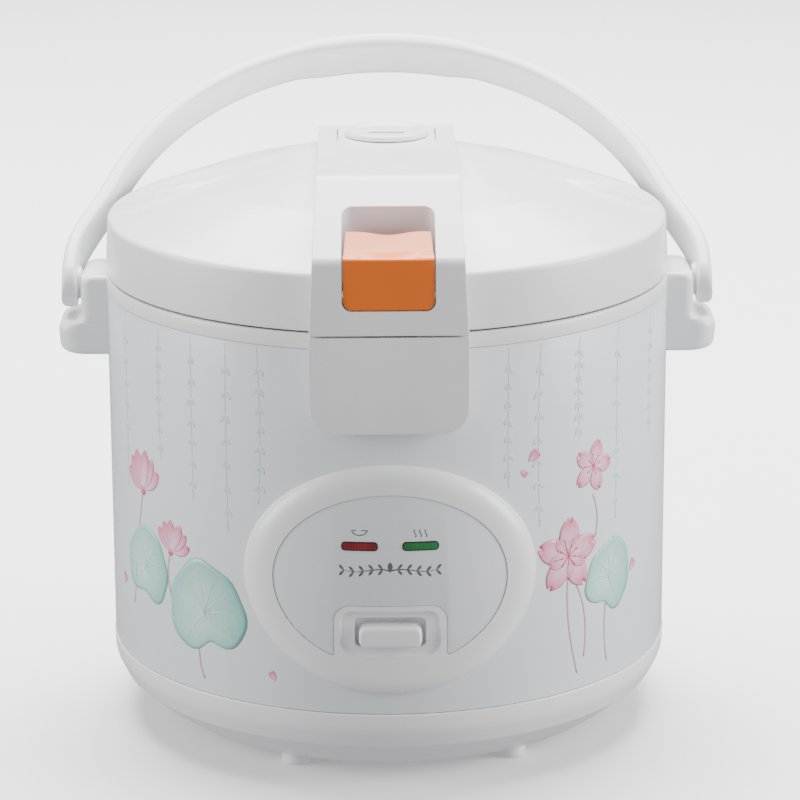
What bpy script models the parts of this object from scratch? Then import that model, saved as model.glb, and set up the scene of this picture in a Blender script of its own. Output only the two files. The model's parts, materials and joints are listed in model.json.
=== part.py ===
"""Drum-shaped rice cooker with a hinged lid, a carrying handle and a cook switch.

Units are metres. +Z is up, the front faces -Y and the floor is the plane Z = 0.
The body axis is the Z axis.
"""

import math

import bmesh
import bpy
from mathutils import Vector

MM = 0.001
GAP = 0.3 * MM

# ---- body of revolution -------------------------------------------------
SEAM_Z = 212.0 * MM
BODY_R = 131.0 * MM
SLEEVE_WALL = 0.6 * MM
SLEEVE_BOTTOM_Z = 37.5 * MM
SLEEVE_TOP_Z = 204.4 * MM
BAND_BOTTOM_Z = 204.7 * MM
COLLAR_TOP_Z = 211.7 * MM
COLLAR_INNER_R = 110.5 * MM
LEDGE_R = 117.5 * MM
LEDGE_Z = 209.0 * MM
SPIGOT_R = 129.9 * MM

BASE_TOP_Z = 37.2 * MM
BASE_CREASE_R = 126.2 * MM
BASE_CREASE_Z = 20.5 * MM
BASE_BELLY_R = 115.0 * MM
BASE_BELLY_Z = 11.0 * MM
UNDERSIDE_R = 106.5 * MM
UNDERSIDE_Z = 5.0 * MM
BASE_WALL = 2.4 * MM
BASE_OPENING_R = 84.0 * MM

FOOT_CIRCLE_R = 100.3 * MM
FOOT_HALF_SPREAD = math.radians(29.5)
FOOT_SET_TURN = math.radians(4.0)
FOOT_R = 7.2 * MM
SCREW_CIRCLE_R = 87.0 * MM

# ---- heating stack ------------------------------------------------------
LINER_R = 113.0 * MM
LINER_WALL = 0.8 * MM
LINER_FLOOR_Z = 78.0 * MM
PLATE_R = 90.0 * MM
PLATE_BOTTOM_Z = 86.0 * MM
PLATE_TOP_Z = 97.5 * MM
PLATE_BORE_R = 18.0 * MM
ELEMENT_CIRCLE_R = 62.0 * MM
ELEMENT_R = 3.6 * MM
ELEMENT_Z = 86.7 * MM
SENSOR_R = 16.5 * MM
SENSOR_TRAVEL = 3.0 * MM
HOUSING_R = 9.5 * MM
HOUSING_BORE_R = 7.6 * MM

# ---- pot ----------------------------------------------------------------
POT_R = 108.0 * MM
POT_WALL = 1.5 * MM
POT_FLOOR_Z = 97.8 * MM
POT_FLANGE_R = 116.5 * MM
POT_CORNER_R = 20.0 * MM

# ---- switch lever -------------------------------------------------------
LEVER_PIVOT_Y = -90.0 * MM
LEVER_PIVOT_Z = 61.0 * MM
LEVER_RISE = math.radians(3.7)
SLOT_HALF_W = 15.9 * MM
SLOT_LOW_Z = 70.3 * MM
SLOT_HIGH_Z = 84.0 * MM
KNOB_HALF_W = 13.9 * MM
KNOB_LOW_Z = 70.8 * MM
KNOB_HIGH_Z = 80.7 * MM

# ---- front panel --------------------------------------------------------
PANEL_Z = 100.5 * MM
PANEL_HALF_W = 65.0 * MM
PANEL_HALF_H = 53.0 * MM
INLAY_HALF_W = 52.0 * MM
INLAY_HALF_H = 40.0 * MM
INLAY_Z = 101.0 * MM
NOTCH_HALF_W = 25.0 * MM
NOTCH_TOP_Z = 89.7 * MM
LAMP_Z = 117.5 * MM
LAMP_X = 13.4 * MM
LAMP_HALF_W = 7.6 * MM
LAMP_HALF_H = 1.6 * MM
PANEL_OUTER_R = 136.0 * MM

# ---- ears, handle and their pivot ----------------------------------------
PIVOT_Z = 204.0 * MM
EAR_FACE_X = 141.0 * MM
EAR_FLARE_X = 153.5 * MM
EAR_TOP_Z = 211.3 * MM
EAR_STEP_Z = 189.6 * MM
EAR_BOTTOM_Z = 172.8 * MM
EAR_HALF_Y = 19.0 * MM
HANDLE_HALF_SPAN = 152.0 * MM
HANDLE_REACH = 161.5 * MM
HANDLE_T = 9.4 * MM
HANDLE_W = 20.0 * MM
HANDLE_END_R = 11.3 * MM
HANDLE_LEAN = math.radians(57.5)
HANDLE_SHOULDER_DROP = 8.2 * MM
SHOULDER_START = 22.0 * MM
SHOULDER_SPAN = 26.0 * MM
GRIP_HALF_X = 38.0 * MM
GRIP_SWELL = 1.6 * MM
HANDLE_PIN_R = 4.0 * MM

# ---- lid ----------------------------------------------------------------
LID_BOTTOM_Z = 212.3 * MM
LID_RIM_R = 129.5 * MM
LID_RIM_Z = 238.0 * MM
LID_APEX_Z = 268.5 * MM
LID_WALL = 2.2 * MM
HINGE_Y = 131.5 * MM
HINGE_Z = 217.5 * MM
HINGE_PIN_R = 2.5 * MM
LUG_R = 5.0 * MM

# ---- lid bridge, latch and vent ------------------------------------------
BRIDGE_HALF_W = 34.7 * MM
BRIDGE_TOP_HALF_W = 31.5 * MM
BRIDGE_FRONT_Y = -136.5 * MM
BRIDGE_EDGE_Z = 245.3 * MM
BRIDGE_TOP_Z = 273.5 * MM
BRIDGE_CREASE_Y = -83.0 * MM
BRIDGE_BACK_Y = 22.0 * MM
BRIDGE_WALL = 2.2 * MM
BRIDGE_REAR_Z = 224.0 * MM
RECESS_HALF_W = 20.3 * MM
RECESS_LOW_Z = 223.7 * MM
RECESS_BACK_Y = -103.0 * MM
BUTTON_HALF_W = 19.7 * MM
LATCH_Y = -128.0 * MM
LATCH_Z = 220.5 * MM
LATCH_PIN_R = 2.0 * MM
HOOK_SPACE_HALF_W = 11.0 * MM
HOUSING_BOTTOM_Z = 168.8 * MM
HOUSING_CORNER_R = 11.0 * MM
VENT_R = 20.0 * MM
VENT_WELL_R = 17.3 * MM
TUBE_R = 8.0 * MM

ROUND = 48
INNER_ROUND = 36
SMALL_ROUND = 24


# ==== materials ==========================================================
def material(name, colour, roughness, metallic=0.0):
    mat = bpy.data.materials.new(name)
    mat.use_nodes = True
    shader = mat.node_tree.nodes["Principled BSDF"]
    shader.inputs["Base Color"].default_value = (*colour, 1.0)
    shader.inputs["Roughness"].default_value = roughness
    shader.inputs["Metallic"].default_value = metallic
    mat.diffuse_color = (*colour, 1.0)
    return mat


WHITE = (0.86, 0.87, 0.87)
STEEL = (0.62, 0.63, 0.64)


# ==== geometry helpers ===================================================
def solid(name, points, faces, mat=None, pivot=(0.0, 0.0, 0.0)):
    """A closed mesh given in world coordinates, with its origin at the pivot."""
    centre = Vector(pivot)
    mesh = bpy.data.meshes.new(name)
    mesh.from_pydata([Vector(p) - centre for p in points], [], faces)
    tidy = bmesh.new()
    tidy.from_mesh(mesh)
    bmesh.ops.recalc_face_normals(tidy, faces=tidy.faces)
    if tidy.calc_volume(signed=True) < 0.0:
        bmesh.ops.reverse_faces(tidy, faces=tidy.faces)
    tidy.to_mesh(mesh)
    tidy.free()
    obj = bpy.data.objects.new(name, mesh)
    obj.location = centre
    bpy.context.scene.collection.objects.link(obj)
    if mat:
        mesh.materials.append(mat)
    return obj


def ring_grid(rings, closed_rings=False):
    """Faces that join equal rings of points, with caps when the chain is open."""
    count = len(rings[0])
    points = [p for ring in rings for p in ring]
    faces = []
    spans = len(rings) if closed_rings else len(rings) - 1
    for i in range(spans):
        j = (i + 1) % len(rings)
        for k in range(count):
            m = (k + 1) % count
            faces.append((i * count + k, i * count + m, j * count + m, j * count + k))
    if not closed_rings:
        faces.append(tuple(range(count)))
        faces.append(tuple((len(rings) - 1) * count + k for k in range(count)))
    return points, faces


def lathe(name, profile, mat=None, centre=(0.0, 0.0), segments=ROUND, pivot=(0.0, 0.0, 0.0)):
    """A solid of revolution about a vertical axis; a profile point of radius 0 is a pole."""
    points = []
    rings = []
    for radius, z in profile:
        if radius == 0.0:
            rings.append([len(points)] * segments)
            points.append((centre[0], centre[1], z))
            continue
        rings.append(list(range(len(points), len(points) + segments)))
        for k in range(segments):
            angle = 2.0 * math.pi * (k + 0.5) / segments
            x = centre[0] + radius * math.sin(angle)
            y = centre[1] - radius * math.cos(angle)
            points.append((x, y, z))
    faces = []
    open_profile = profile[0][0] == 0.0 and profile[-1][0] == 0.0
    spans = len(rings) - 1 if open_profile else len(rings)
    for i in range(spans):
        a = rings[i]
        b = rings[(i + 1) % len(rings)]
        for k in range(segments):
            m = (k + 1) % segments
            corners = []
            for index in (a[k], a[m], b[m], b[k]):
                if index not in corners:
                    corners.append(index)
            faces.append(tuple(corners))
    return solid(name, points, faces, mat, pivot)


def prism(name, outline, axis, low, high, mat=None, pivot=(0.0, 0.0, 0.0)):
    """An outline swept straight along X, Y or Z; the outline holds the other two coordinates."""
    def place(pair, along):
        if axis == "X":
            return (along, pair[0], pair[1])
        if axis == "Y":
            return (pair[0], along, pair[1])
        return (pair[0], pair[1], along)

    rings = [[place(pair, along) for pair in outline] for along in (low, high)]
    points, faces = ring_grid(rings)
    return solid(name, points, faces, mat, pivot)


def box(name, low, high, mat=None, pivot=(0.0, 0.0, 0.0)):
    outline = [(low[0], low[1]), (high[0], low[1]), (high[0], high[1]), (low[0], high[1])]
    return prism(name, outline, "Z", low[2], high[2], mat, pivot)


def circle(centre, radius, segments=SMALL_ROUND):
    turns = [2.0 * math.pi * (k + 0.5) / segments for k in range(segments)]
    return [(centre[0] + radius * math.cos(t), centre[1] + radius * math.sin(t)) for t in turns]


def ellipse(centre, half_w, half_h, segments=48):
    turns = [2.0 * math.pi * k / segments for k in range(segments)]
    return [(centre[0] + half_w * math.cos(t), centre[1] + half_h * math.sin(t)) for t in turns]


def rod(name, axis, centre, radius, low, high, mat=None, segments=SMALL_ROUND, pivot=(0.0, 0.0, 0.0)):
    return prism(name, circle(centre, radius, segments), axis, low, high, mat, pivot)


def round_box_outline(half_w, low, high, radius, steps=4, top_radius=0.0):
    """A rectangle centred on 0 with its lower (and maybe upper) corners rounded."""
    outline = []
    corners = [
        (half_w, high, top_radius, 0.0),
        (-half_w, high, top_radius, 0.5 * math.pi),
        (-half_w, low, radius, math.pi),
        (half_w, low, radius, 1.5 * math.pi),
    ]
    for x, z, r, start in corners:
        if r == 0.0:
            outline.append((x, z))
            continue
        cx = x - math.copysign(r, x)
        cz = z - r if z == high else z + r
        for k in range(steps + 1):
            turn = start + 0.5 * math.pi * k / steps
            outline.append((cx + r * math.cos(turn), cz + r * math.sin(turn)))
    return outline


def coil(name, centre, axis, radius, wire, low, high, turns, mat, per_turn=8):
    """A helical spring along Z or Y or X, as one closed tube."""
    around = 4
    steps = int(turns * per_turn)
    rings = []
    for i in range(steps + 1):
        turn = 2.0 * math.pi * i / per_turn
        along = low + (high - low) * i / steps
        ring = []
        for k in range(around):
            phi = 2.0 * math.pi * k / around
            out = radius + wire * math.cos(phi)
            u = out * math.cos(turn)
            v = out * math.sin(turn)
            w = along + wire * math.sin(phi)
            if axis == "Z":
                ring.append((centre[0] + u, centre[1] + v, w))
            elif axis == "Y":
                ring.append((centre[0] + u, w, centre[1] + v))
            else:
                ring.append((w, centre[0] + u, centre[1] + v))
        rings.append(ring)
    points, faces = ring_grid(rings)
    return solid(name, points, faces, mat)


def boolean(obj, cutter, operation):
    """Joins, cuts or intersects with a helper body that is itself never part of the object."""
    cutter.hide_render = True
    cutter.display_type = "WIRE"
    step = obj.modifiers.new(cutter.name, "BOOLEAN")
    step.operation = operation
    step.solver = "EXACT"
    step.object = cutter
    return obj


def cut(obj, *cutters):
    for cutter in cutters:
        boolean(obj, cutter, "DIFFERENCE")
    return obj


def join(obj, *others):
    for other in others:
        boolean(obj, other, "UNION")
    return obj


def keep(obj, cutter):
    return boolean(obj, cutter, "INTERSECT")


def tube(name, inner, outer, low, high, mat=None, segments=ROUND):
    return lathe(name, [(inner, low), (outer, low), (outer, high), (inner, high)], mat, segments=segments)


# ==== base ===============================================================
def foot_angles():
    """Two feet spread about the front and two about the rear, turned a little as a set."""
    for middle in (0.0, math.pi):
        for side in (-1.0, 1.0):
            yield middle + side * FOOT_HALF_SPREAD + FOOT_SET_TURN


def around(radius, angle):
    """A point on a circle, with the angle counted from the front towards +X."""
    return (radius * math.sin(angle), -radius * math.cos(angle))


def base_shell(mat):
    inner = UNDERSIDE_R - 1.5 * MM
    profile = [
        (BASE_OPENING_R, UNDERSIDE_Z),
        (UNDERSIDE_R - 1.2 * MM, UNDERSIDE_Z),
        (UNDERSIDE_R, UNDERSIDE_Z + 0.5 * MM),
        (BASE_BELLY_R, BASE_BELLY_Z),
        (BASE_CREASE_R, BASE_CREASE_Z),
        (BODY_R - 0.7 * MM, 27.0 * MM),
        (BODY_R + GAP, 32.0 * MM),
        (BODY_R + GAP, BASE_TOP_Z),
        (SPIGOT_R, BASE_TOP_Z),
        (SPIGOT_R, BASE_TOP_Z + 5.0 * MM),
        (SPIGOT_R - BASE_WALL, BASE_TOP_Z + 5.0 * MM),
        (SPIGOT_R - BASE_WALL, 30.0 * MM),
        (BASE_CREASE_R - BASE_WALL, BASE_CREASE_Z + 1.6 * MM),
        (inner, UNDERSIDE_Z + BASE_WALL),
        (BASE_OPENING_R, UNDERSIDE_Z + BASE_WALL),
    ]
    shell = lathe("base_shell", profile, mat)
    for i, angle in enumerate(foot_angles()):
        hole = rod(f"cut_foot_{i}", "Z", around(FOOT_CIRCLE_R, angle), 3.2 * MM, 2 * MM, 12 * MM, segments=10)
        cut(shell, hole)
    return shell


def feet(mat):
    for i, angle in enumerate(foot_angles()):
        profile = [
            (0.0, 0.0),
            (FOOT_R - 1.2 * MM, 0.0),
            (FOOT_R - 0.6 * MM, 0.8 * MM),
            (FOOT_R, UNDERSIDE_Z - GAP),
            (2.9 * MM, UNDERSIDE_Z - GAP),
            (2.9 * MM, 9.0 * MM),
            (0.0, 9.0 * MM),
        ]
        lathe(f"foot_{i + 1}", profile, mat, around(FOOT_CIRCLE_R, angle), 20)


def bottom_cover(mat):
    low = UNDERSIDE_Z + BASE_WALL + GAP
    profile = [(0.0, low), (91.0 * MM, low), (91.0 * MM, low + 1.5 * MM), (0.0, low + 1.5 * MM)]
    cover = lathe("bottom_cover", profile, mat)
    slots = 10
    for i in range(slots):
        angle = 2.0 * math.pi * i / slots
        slot = box("cut_slot", (-2.0 * MM, 38.0 * MM, 0.0), (2.0 * MM, 66.0 * MM, 20.0 * MM))
        slot.rotation_euler = (0.0, 0.0, angle)
        cut(cover, slot)
    return cover


def bottom_screws(mat, shell, cover):
    for i in range(3):
        angle = 2.0 * math.pi * (i + 0.5) / 3.0
        centre = around(SCREW_CIRCLE_R, angle)
        profile = [
            (0.0, 3.2 * MM),
            (2.6 * MM, 3.2 * MM),
            (3.2 * MM, UNDERSIDE_Z - 0.1 * MM),
            (1.3 * MM, UNDERSIDE_Z - 0.1 * MM),
            (1.3 * MM, 14.0 * MM),
            (0.0, 14.0 * MM),
        ]
        lathe(f"bottom_screw_{i + 1}", profile, mat, centre, 12)
        for body in (shell, cover):
            cut(body, rod(f"cut_screw_{i}", "Z", centre, 1.6 * MM, 1.0 * MM, 16.0 * MM, segments=12))


# ==== shell ==============================================================
def outer_sleeve(mat):
    sleeve = tube("outer_sleeve", BODY_R - SLEEVE_WALL, BODY_R, SLEEVE_BOTTOM_Z, SLEEVE_TOP_Z, mat)
    window = prism(
        "cut_panel_window",
        [(-38 * MM, 66 * MM), (38 * MM, 66 * MM), (38 * MM, 126 * MM), (-38 * MM, 126 * MM)],
        "Y",
        -140 * MM,
        -100 * MM,
    )
    socket = box("cut_inlet_window", (-17.4 * MM, 100 * MM, 55.6 * MM), (17.4 * MM, 140 * MM, 84.4 * MM))
    return cut(sleeve, window, socket, hook_space("cut_sleeve_hook", -150 * MM))


def inner_liner(mat):
    bend = 6.0 * MM
    low = LINER_FLOOR_Z
    top = SLEEVE_TOP_Z + 0.7 * MM
    profile = [
        (19.0 * MM, low),
        (LINER_R - bend, low),
        (LINER_R - 1.8 * MM, low + 1.8 * MM),
        (LINER_R, low + bend),
        (LINER_R, top - LINER_WALL),
        (LINER_R + 5.0 * MM, top - LINER_WALL),
        (LINER_R + 5.0 * MM, top),
        (LINER_R - LINER_WALL, top),
        (LINER_R - LINER_WALL, low + bend),
        (LINER_R - 2.5 * MM, low + 2.5 * MM),
        (LINER_R - bend, low + LINER_WALL),
        (19.0 * MM, low + LINER_WALL),
    ]
    return lathe("inner_liner", profile, mat, segments=INNER_ROUND)


def ear_outline(side):
    """Front view of one ear: an upper cheek and a wider shelf below it."""
    inner = 118.0 * MM
    soft = 3.0 * MM
    outline = [
        (inner, EAR_TOP_Z),
        (EAR_FACE_X - soft, EAR_TOP_Z),
        (EAR_FACE_X, EAR_TOP_Z - soft),
        (EAR_FACE_X, EAR_STEP_Z),
        (EAR_FLARE_X - 1.0 * MM, EAR_STEP_Z),
        (EAR_FLARE_X, EAR_STEP_Z - 2.0 * MM),
        (EAR_FLARE_X, EAR_BOTTOM_Z + 9.0 * MM),
        (EAR_FLARE_X - 2.6 * MM, EAR_BOTTOM_Z + 2.6 * MM),
        (EAR_FLARE_X - 9.0 * MM, EAR_BOTTOM_Z),
        (inner, EAR_BOTTOM_Z),
    ]
    return [(side * x, z) for x, z in outline]


def upper_collar(mat):
    profile = [
        (COLLAR_INNER_R, SLEEVE_TOP_Z + 1.1 * MM),
        (COLLAR_INNER_R, LEDGE_Z),
        (LEDGE_R, LEDGE_Z),
        (LEDGE_R, COLLAR_TOP_Z),
        (BODY_R - 0.6 * MM, COLLAR_TOP_Z),
        (BODY_R + 0.2 * MM, COLLAR_TOP_Z - 0.8 * MM),
        (BODY_R + 0.2 * MM, BAND_BOTTOM_Z),
        (SPIGOT_R, BAND_BOTTOM_Z),
        (SPIGOT_R, SLEEVE_TOP_Z - 4.4 * MM),
        (SPIGOT_R - 2.0 * MM, SLEEVE_TOP_Z - 4.4 * MM),
        (SPIGOT_R - 2.0 * MM, SLEEVE_TOP_Z + 1.1 * MM),
    ]
    collar = lathe("upper_collar", profile, mat)
    half = EAR_HALF_Y
    soft = 5.0 * MM
    for side, tag in ((-1.0, "left"), (1.0, "right")):
        ear = prism(f"add_ear_{tag}", ear_outline(side), "Y", -half, half)
        plan = [
            (side * 100 * MM, -half),
            (side * (EAR_FLARE_X - soft), -half),
            (side * (EAR_FLARE_X - 0.3 * soft), -half + 0.3 * soft),
            (side * (EAR_FLARE_X + 1 * MM), -half + soft),
            (side * (EAR_FLARE_X + 1 * MM), half - soft),
            (side * (EAR_FLARE_X - 0.3 * soft), half - 0.3 * soft),
            (side * (EAR_FLARE_X - soft), half),
            (side * 100 * MM, half),
        ]
        keep(ear, prism(f"cut_ear_plan_{tag}", plan, "Z", 150 * MM, 230 * MM))
        core = [(0.0, 140 * MM), (BODY_R + 0.5 * MM, 140 * MM), (BODY_R + 0.5 * MM, BAND_BOTTOM_Z)]
        core += [(BODY_R - 6 * MM, BAND_BOTTOM_Z), (BODY_R - 6 * MM, 230 * MM), (0.0, 230 * MM)]
        cut(ear, lathe(f"cut_ear_core_{tag}", core))
        face = EAR_FACE_X - 6.0 * MM
        cut(ear, rod(f"cut_pin_{tag}", "X", (0.0, PIVOT_Z), HANDLE_PIN_R + 0.1 * MM, *sorted((side * face, side * 0.16))))
        join(collar, ear)
    return cut(collar, hook_space("cut_collar_hook", -150 * MM))


def hook_space(name, front):
    """Room for the latch hook to hang in and to swing forward."""
    return box(name, (-HOOK_SPACE_HALF_W, front, 198 * MM), (HOOK_SPACE_HALF_W, -119 * MM, 220 * MM))


def latch_keeper(mat):
    return box("latch_keeper", (-10.7 * MM, -122.9 * MM, 206 * MM), (10.7 * MM, -119.3 * MM, 209.5 * MM), mat)


def latch_housing(mat):
    outline = round_box_outline(BRIDGE_HALF_W, HOUSING_BOTTOM_Z, COLLAR_TOP_Z, HOUSING_CORNER_R)
    block = prism("latch_housing", outline, "Y", BRIDGE_FRONT_Y, -110 * MM, mat)
    body = lathe("cut_housing_body", [(0.0, 0.15), (BODY_R + 0.5 * MM, 0.15), (BODY_R + 0.5 * MM, 0.23), (0.0, 0.23)])
    return cut(block, body, hook_space("cut_housing_hook", BRIDGE_FRONT_Y + BRIDGE_WALL))


def hinge_cover(mat):
    outline = round_box_outline(BRIDGE_HALF_W - 1 * MM, 166 * MM, 208 * MM, HOUSING_CORNER_R)
    block = prism("hinge_cover", outline, "Y", 118 * MM, 139.6 * MM, mat)
    body = lathe("cut_cover_body", [(0.0, 0.15), (BODY_R + 0.5 * MM, 0.15), (BODY_R + 0.5 * MM, 0.23), (0.0, 0.23)])
    cut(block, body)
    for side in (-1.0, 1.0):
        low, high = sorted((side * 25.2 * MM, side * 31.0 * MM))
        back = HINGE_Y + LUG_R
        outline = [(HINGE_Y + 0.6 * MM, 200 * MM), (back, 200 * MM), (back, HINGE_Z)]
        for k in range(1, 8):
            turn = math.pi * k / 8.0
            outline.append((HINGE_Y + LUG_R * math.cos(turn), HINGE_Z + LUG_R * math.sin(turn)))
        outline.append((HINGE_Y - LUG_R, HINGE_Z))
        outline.append((HINGE_Y - LUG_R + 1.5 * MM, HINGE_Z - 3.6 * MM))
        outline.append((HINGE_Y + 0.6 * MM, HINGE_Z - LUG_R))
        lug = prism(f"add_lug_{side:+.0f}", outline, "X", low, high)
        join(block, lug)
    bore = rod("cut_lug_bore", "X", (HINGE_Y, HINGE_Z), HINGE_PIN_R + 0.05 * MM, -40 * MM, 40 * MM)
    return cut(block, bore)


def hinge_pin(mat):
    return rod("hinge_pin", "X", (HINGE_Y, HINGE_Z), HINGE_PIN_R, -31.4 * MM, 31.4 * MM, mat)


def power_inlet(mat):
    body = box("power_inlet", (-17.0 * MM, 119 * MM, 56 * MM), (17.0 * MM, 131.4 * MM, 84 * MM), mat)
    flange = round_box_outline(20.0 * MM, 53 * MM, 87 * MM, 4 * MM, 3, 4 * MM)
    join(body, prism("add_inlet_flange", flange, "Y", BODY_R + 0.4 * MM - 0.2 * MM, 134.5 * MM))
    cut(body, box("cut_socket", (-12.0 * MM, 121.5 * MM, 62 * MM), (12.0 * MM, 150 * MM, 78 * MM)))
    for i, x in enumerate((-7.0 * MM, 0.0, 7.0 * MM)):
        cut(body, rod(f"cut_inlet_pin_{i}", "Y", (x, 70 * MM), 1.9 * MM, 110 * MM, 130 * MM, segments=10))
    return body


def inlet_pins(mat):
    for i, x in enumerate((-7.0 * MM, 0.0, 7.0 * MM)):
        rod(f"inlet_pin_{i + 1}", "Y", (x, 70 * MM), 1.6 * MM, 114 * MM, 129.5 * MM, mat, 10)


# ==== heating stack ======================================================
def heater_plate(mat):
    groove_in = ELEMENT_CIRCLE_R - ELEMENT_R - GAP
    groove_out = ELEMENT_CIRCLE_R + ELEMENT_R + GAP
    groove_top = ELEMENT_Z + ELEMENT_R + GAP
    profile = [
        (PLATE_BORE_R, PLATE_BOTTOM_Z),
        (groove_in, PLATE_BOTTOM_Z),
        (groove_in, groove_top),
        (groove_out, groove_top),
        (groove_out, PLATE_BOTTOM_Z),
        (PLATE_R - 3 * MM, PLATE_BOTTOM_Z + 1 * MM),
        (PLATE_R, PLATE_BOTTOM_Z + 4 * MM),
        (PLATE_R - 4 * MM, PLATE_TOP_Z - 1.5 * MM),
        (PLATE_R - 14 * MM, PLATE_TOP_Z),
        (PLATE_BORE_R, PLATE_TOP_Z),
    ]
    plate = lathe("heater_plate", profile, mat, segments=INNER_ROUND)
    low = LINER_FLOOR_Z + LINER_WALL + GAP
    for i in range(3):
        centre = around(76 * MM, 2.0 * math.pi * i / 3.0)
        join(plate, rod(f"add_leg_{i}", "Z", centre, 4 * MM, low, PLATE_BOTTOM_Z + 3 * MM, segments=10))
    return plate


def heating_element(mat):
    """A round sheathed bar bent into an open loop under the plate."""
    rings = []
    steps = 30
    start = math.radians(12.0)
    for i in range(steps + 1):
        turn = start + (2.0 * math.pi - 2.0 * start) * i / steps
        ring = []
        for k in range(8):
            phi = 2.0 * math.pi * k / 8
            radius = ELEMENT_CIRCLE_R + ELEMENT_R * math.cos(phi)
            x, y = around(radius, turn)
            ring.append((x, y, ELEMENT_Z + ELEMENT_R * math.sin(phi)))
        rings.append(ring)
    points, faces = ring_grid(rings)
    return solid("heating_element", points, faces, mat)


def thermostat_housing(mat):
    top = 90.0 * MM
    flange = LINER_FLOOR_Z - GAP
    profile = [
        (HOUSING_BORE_R, 64 * MM),
        (HOUSING_R, 64 * MM),
        (HOUSING_R, flange - 1.5 * MM),
        (24 * MM, flange - 1.5 * MM),
        (24 * MM, flange),
        (HOUSING_R, flange),
        (HOUSING_R, top),
        (0.0, top),
        (0.0, top - 2 * MM),
        (HOUSING_BORE_R, top - 2 * MM),
    ]
    return capped_lathe("thermostat_housing", profile, mat)


def capped_lathe(name, profile, mat, pivot=(0.0, 0.0, 0.0)):
    """A lathe whose profile touches the axis twice in the middle of its list."""
    first = next(i for i, point in enumerate(profile) if point[0] == 0.0)
    turned = profile[first + 1:] + profile[:first + 1]
    return lathe(name, turned, mat, segments=SMALL_ROUND, pivot=pivot)


def sensor_cap(mat):
    top = PLATE_TOP_Z - 0.1 * MM
    profile = [
        (SENSOR_R - 1 * MM, 82.5 * MM),
        (SENSOR_R, 82.5 * MM),
        (SENSOR_R, top - 0.8 * MM),
        (SENSOR_R - 0.8 * MM, top),
        (0.0, top),
        (0.0, top - 1.2 * MM),
        (SENSOR_R - 1 * MM, top - 1.2 * MM),
    ]
    return capped_lathe("sensor_cap", profile, mat, (0.0, 0.0, PLATE_TOP_Z))


def sensor_spring(mat):
    return coil("sensor_spring", (0.0, 0.0), "Z", 12.4 * MM, 0.7 * MM, 78.8 * MM, 95.2 * MM, 4, mat)


def magnet_plunger(mat):
    foot_z = LEVER_PIVOT_Z - 1.0 * MM - 0.6 * MM
    profile = [
        (0.0, foot_z - 2 * MM),
        (5 * MM, foot_z - 2 * MM),
        (5 * MM, foot_z),
        (2.5 * MM, foot_z),
        (2.5 * MM, 76 * MM),
        (7.2 * MM, 76 * MM),
        (7.2 * MM, 87.2 * MM),
        (0.0, 87.2 * MM),
    ]
    return lathe("magnet_plunger", profile, mat, segments=SMALL_ROUND, pivot=(0.0, 0.0, 76 * MM))


def keep_warm_band(mat):
    return tube("keep_warm_band", LINER_R + GAP, LINER_R + 2 * MM, 150 * MM, 168 * MM, mat, INNER_ROUND)


def inner_pot(mat):
    outer = []
    inner = []
    steps = 4
    for k in range(steps + 1):
        turn = 0.5 * math.pi * k / steps
        r = POT_R - POT_CORNER_R + POT_CORNER_R * math.sin(turn)
        z = POT_FLOOR_Z + POT_CORNER_R - POT_CORNER_R * math.cos(turn)
        outer.append((r, z))
        bend = POT_CORNER_R - POT_WALL
        r = POT_R - POT_CORNER_R + bend * math.sin(turn)
        z = POT_FLOOR_Z + POT_CORNER_R - bend * math.cos(turn)
        inner.append((r, z))
    under = LEDGE_Z + GAP
    profile = [(0.0, POT_FLOOR_Z)] + outer
    profile += [(POT_R, under - 1.5 * MM), (POT_R + 1.5 * MM, under), (POT_FLANGE_R, under)]
    profile += [(POT_FLANGE_R, under + POT_WALL), (POT_R, under + POT_WALL)]
    profile += [(POT_R - POT_WALL, under)]
    profile += list(reversed(inner)) + [(0.0, POT_FLOOR_Z + POT_WALL)]
    return lathe("inner_pot", profile, mat, segments=INNER_ROUND)


# ==== switch =============================================================
def switch_lever(mat):
    thick = 2.0 * MM
    low = LEVER_PIVOT_Z - 0.5 * thick
    rise = 73.0 * MM
    outline = [
        (9 * MM, low),
        (9 * MM, low + thick),
        (-97 * MM, low + thick),
        (-103 * MM, rise + thick),
        (-132.6 * MM, rise + thick),
        (-132.6 * MM, rise),
        (-104.6 * MM, rise),
        (-98.6 * MM, low),
    ]
    pivot = (0.0, LEVER_PIVOT_Y, LEVER_PIVOT_Z)
    strip = prism("switch_lever", outline, "X", -7 * MM, 7 * MM, mat, pivot)
    join(strip, rod("add_lever_hub", "X", (LEVER_PIVOT_Y, LEVER_PIVOT_Z), 3.6 * MM, -7 * MM, 7 * MM, segments=16))
    cut(strip, rod("cut_lever_bore", "X", (LEVER_PIVOT_Y, LEVER_PIVOT_Z), 1.56 * MM, -20 * MM, 20 * MM, segments=16))
    return cut(strip, rod("cut_lever_hole", "Z", (0.0, 0.0), 4 * MM, 50 * MM, 70 * MM, segments=16))


def switch_knob(mat):
    front = -138.2 * MM
    outline = round_box_outline(KNOB_HALF_W, KNOB_LOW_Z, KNOB_HIGH_Z, 2.4 * MM, 3, 2.4 * MM)
    pivot = (0.0, LEVER_PIVOT_Y, LEVER_PIVOT_Z)
    knob = prism("switch_knob", outline, "Y", front, -126 * MM, mat, pivot)
    hole = box("cut_knob_socket", (-7.2 * MM, -133 * MM, 72.8 * MM), (7.2 * MM, -120 * MM, 75.2 * MM))
    return cut(knob, hole)


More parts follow.
